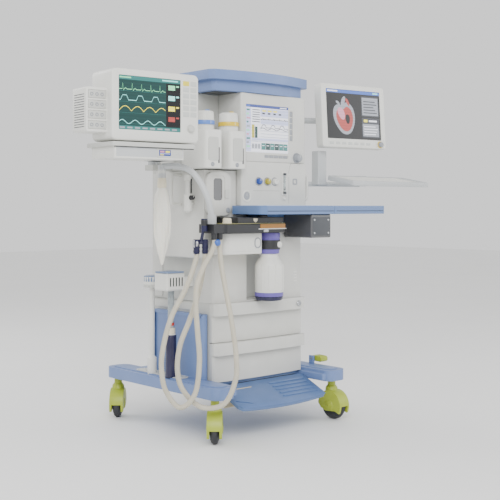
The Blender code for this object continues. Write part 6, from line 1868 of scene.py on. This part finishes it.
chart = [("black", rounded(-0.1600, 0.1600, -0.105, 0.122, 0.003)),
    ("blue", rounded(-0.1600, 0.1600, 0.106, 0.122, 0.002)),
    ("grey", blob(40, 0.062, 0.078, (-0.055, -0.004), 0.25, 0.25)),
    ("red", blob(40, 0.048, 0.060, (-0.052, -0.008), 0.25, 0.30)),
    ("pink", blob(30, 0.018, 0.030, (-0.072, 0.012), 0.5)),
    ("black", blob(30, 0.013, 0.022, (-0.036, -0.012), 0.1)),
    ("grey", blob(24, 0.010, 0.026, (-0.060, 0.068), -0.4)),
    ("red", blob(24, 0.007, 0.020, (-0.034, 0.066), 0.5)),
    ("grey", blob(24, 0.006, 0.014, (-0.090, 0.060), 0.9)),
    ("dark_grey", rounded(0.048, 0.154, 0.004, 0.098, 0.003)),
    ("grey", rounded(0.053, 0.149, 0.010, 0.092, 0.002)),
    ("dark_grey", rounded(0.048, 0.154, -0.094, -0.002, 0.003)),
    ("grey", rounded(0.053, 0.149, -0.088, -0.030, 0.002)),
    ("yellow", rounded(0.060, 0.082, -0.022, -0.010, 0.002)),
    ("white", rounded(0.090, 0.140, -0.020, -0.012, 0.002)),
    ("white", rounded(-0.150, -0.090, 0.111, 0.117, 0.001)),
    ("cyan", rounded(0.120, 0.150, 0.111, 0.117, 0.001))]
chart += [("dark_grey", rounded(0.060, 0.142 - 0.010 * (i % 3), 0.020 + 0.013 * i, 0.0245 + 0.013 * i,
            0.001)) for i in range(5)]
chart += [("white", rounded(0.060, 0.130 + 0.006 * (i % 3), -0.080 + 0.012 * i, -0.0765 + 0.012 * i,
            0.001)) for i in range(4)]
pieces = []
for level, (colour, outline) in enumerate(chart):
    tile = plate("tile", outline, "XZ", 0.0036 - 0.00003 * level, 0.0040)
    tile.data.materials.append(SCREEN_COLOURS[colour])
    pieces.append(tile)
drawn = stood(join("data_screen_picture", pieces), SCREEN_STAND)
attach(drawn, "data_screen")
print("data screen shows", len(chart), "shapes")

# %% [markdown]
# The keyboard's arm turns on a hub with a grey cap.

# %% Keyboard arm
repaint("keyboard_arm", arm_coat)
arm_hub = (HINGES["keyboard_arm"] - ORIGIN).xy
dress(turned("keyboard_arm_hub_cap", cap_outline(0.018, 0.0215, 0.004, 0.0015, -0.002),
             (*arm_hub, 1.0660), None, 36), grey_abs, "keyboard_arm")

# %% [markdown]
# The tray has a shallow well that keeps the keyboard from sliding. The keys are one loop over rows and
# columns, with a space bar in the first row.

# %% Keyboard tray
STANDS["keyboard_tray"] = Matrix.Translation(ORIGIN + Vector((0.665, -0.2365,
            1.062))) @ Matrix.Rotation(math.radians(10.0), 4, "X")
tray = block("keyboard_tray_moulding", -0.265, 0.265, -0.170, 0.0, -0.010, 0.012)
round_upright(tray, 0.015)
soften(tray, 0.003)
well = round_upright(block("well", -0.252, 0.252, -0.158, -0.014, 0.0085, 0.03), 0.006)
cut(tray, well)
hinge = pipe("tray_hinge_barrel", ((-0.060, 0.006, 0.0), (0.060, 0.006, 0.0)), 0.0098, 5)
fit(join("keyboard_tray_moulding", [tray, hinge]), arm_coat, "keyboard_tray", "grey_plastic",
    ["keyboard_tray"])
board = block("keyboard_case", -0.245, 0.215, -0.152, -0.020, 0.0080, 0.0100)
fit(board, casing_shade, "keyboard_tray", edge=0.0006)
PITCH = 0.0186
keys = []
for row in range(6):
    for column in range(22):
        if row == 0 and 4 <= column <= 9:
            continue
        x, y = -0.2385 + PITCH * (column + 0.25 * (row % 2)), -0.1475 + 0.0205 * row
        if x + 0.016 < 0.212:
            keys.append(block("key", x, x + 0.0160, y, y + 0.0165, 0.0096, 0.0116))
space_bar = block("key", -0.2385 + PITCH * 4, -0.2385 + PITCH * 9 + 0.016, -0.1475, -0.131, 0.0096, 0.0116)
fit(join("keyboard_keys", keys + [space_bar]), white_abs, "keyboard_tray", "pale_plastic", edge=0.0008,
    segments=2)
print("keyboard with", len(keys) + 1, "keys")
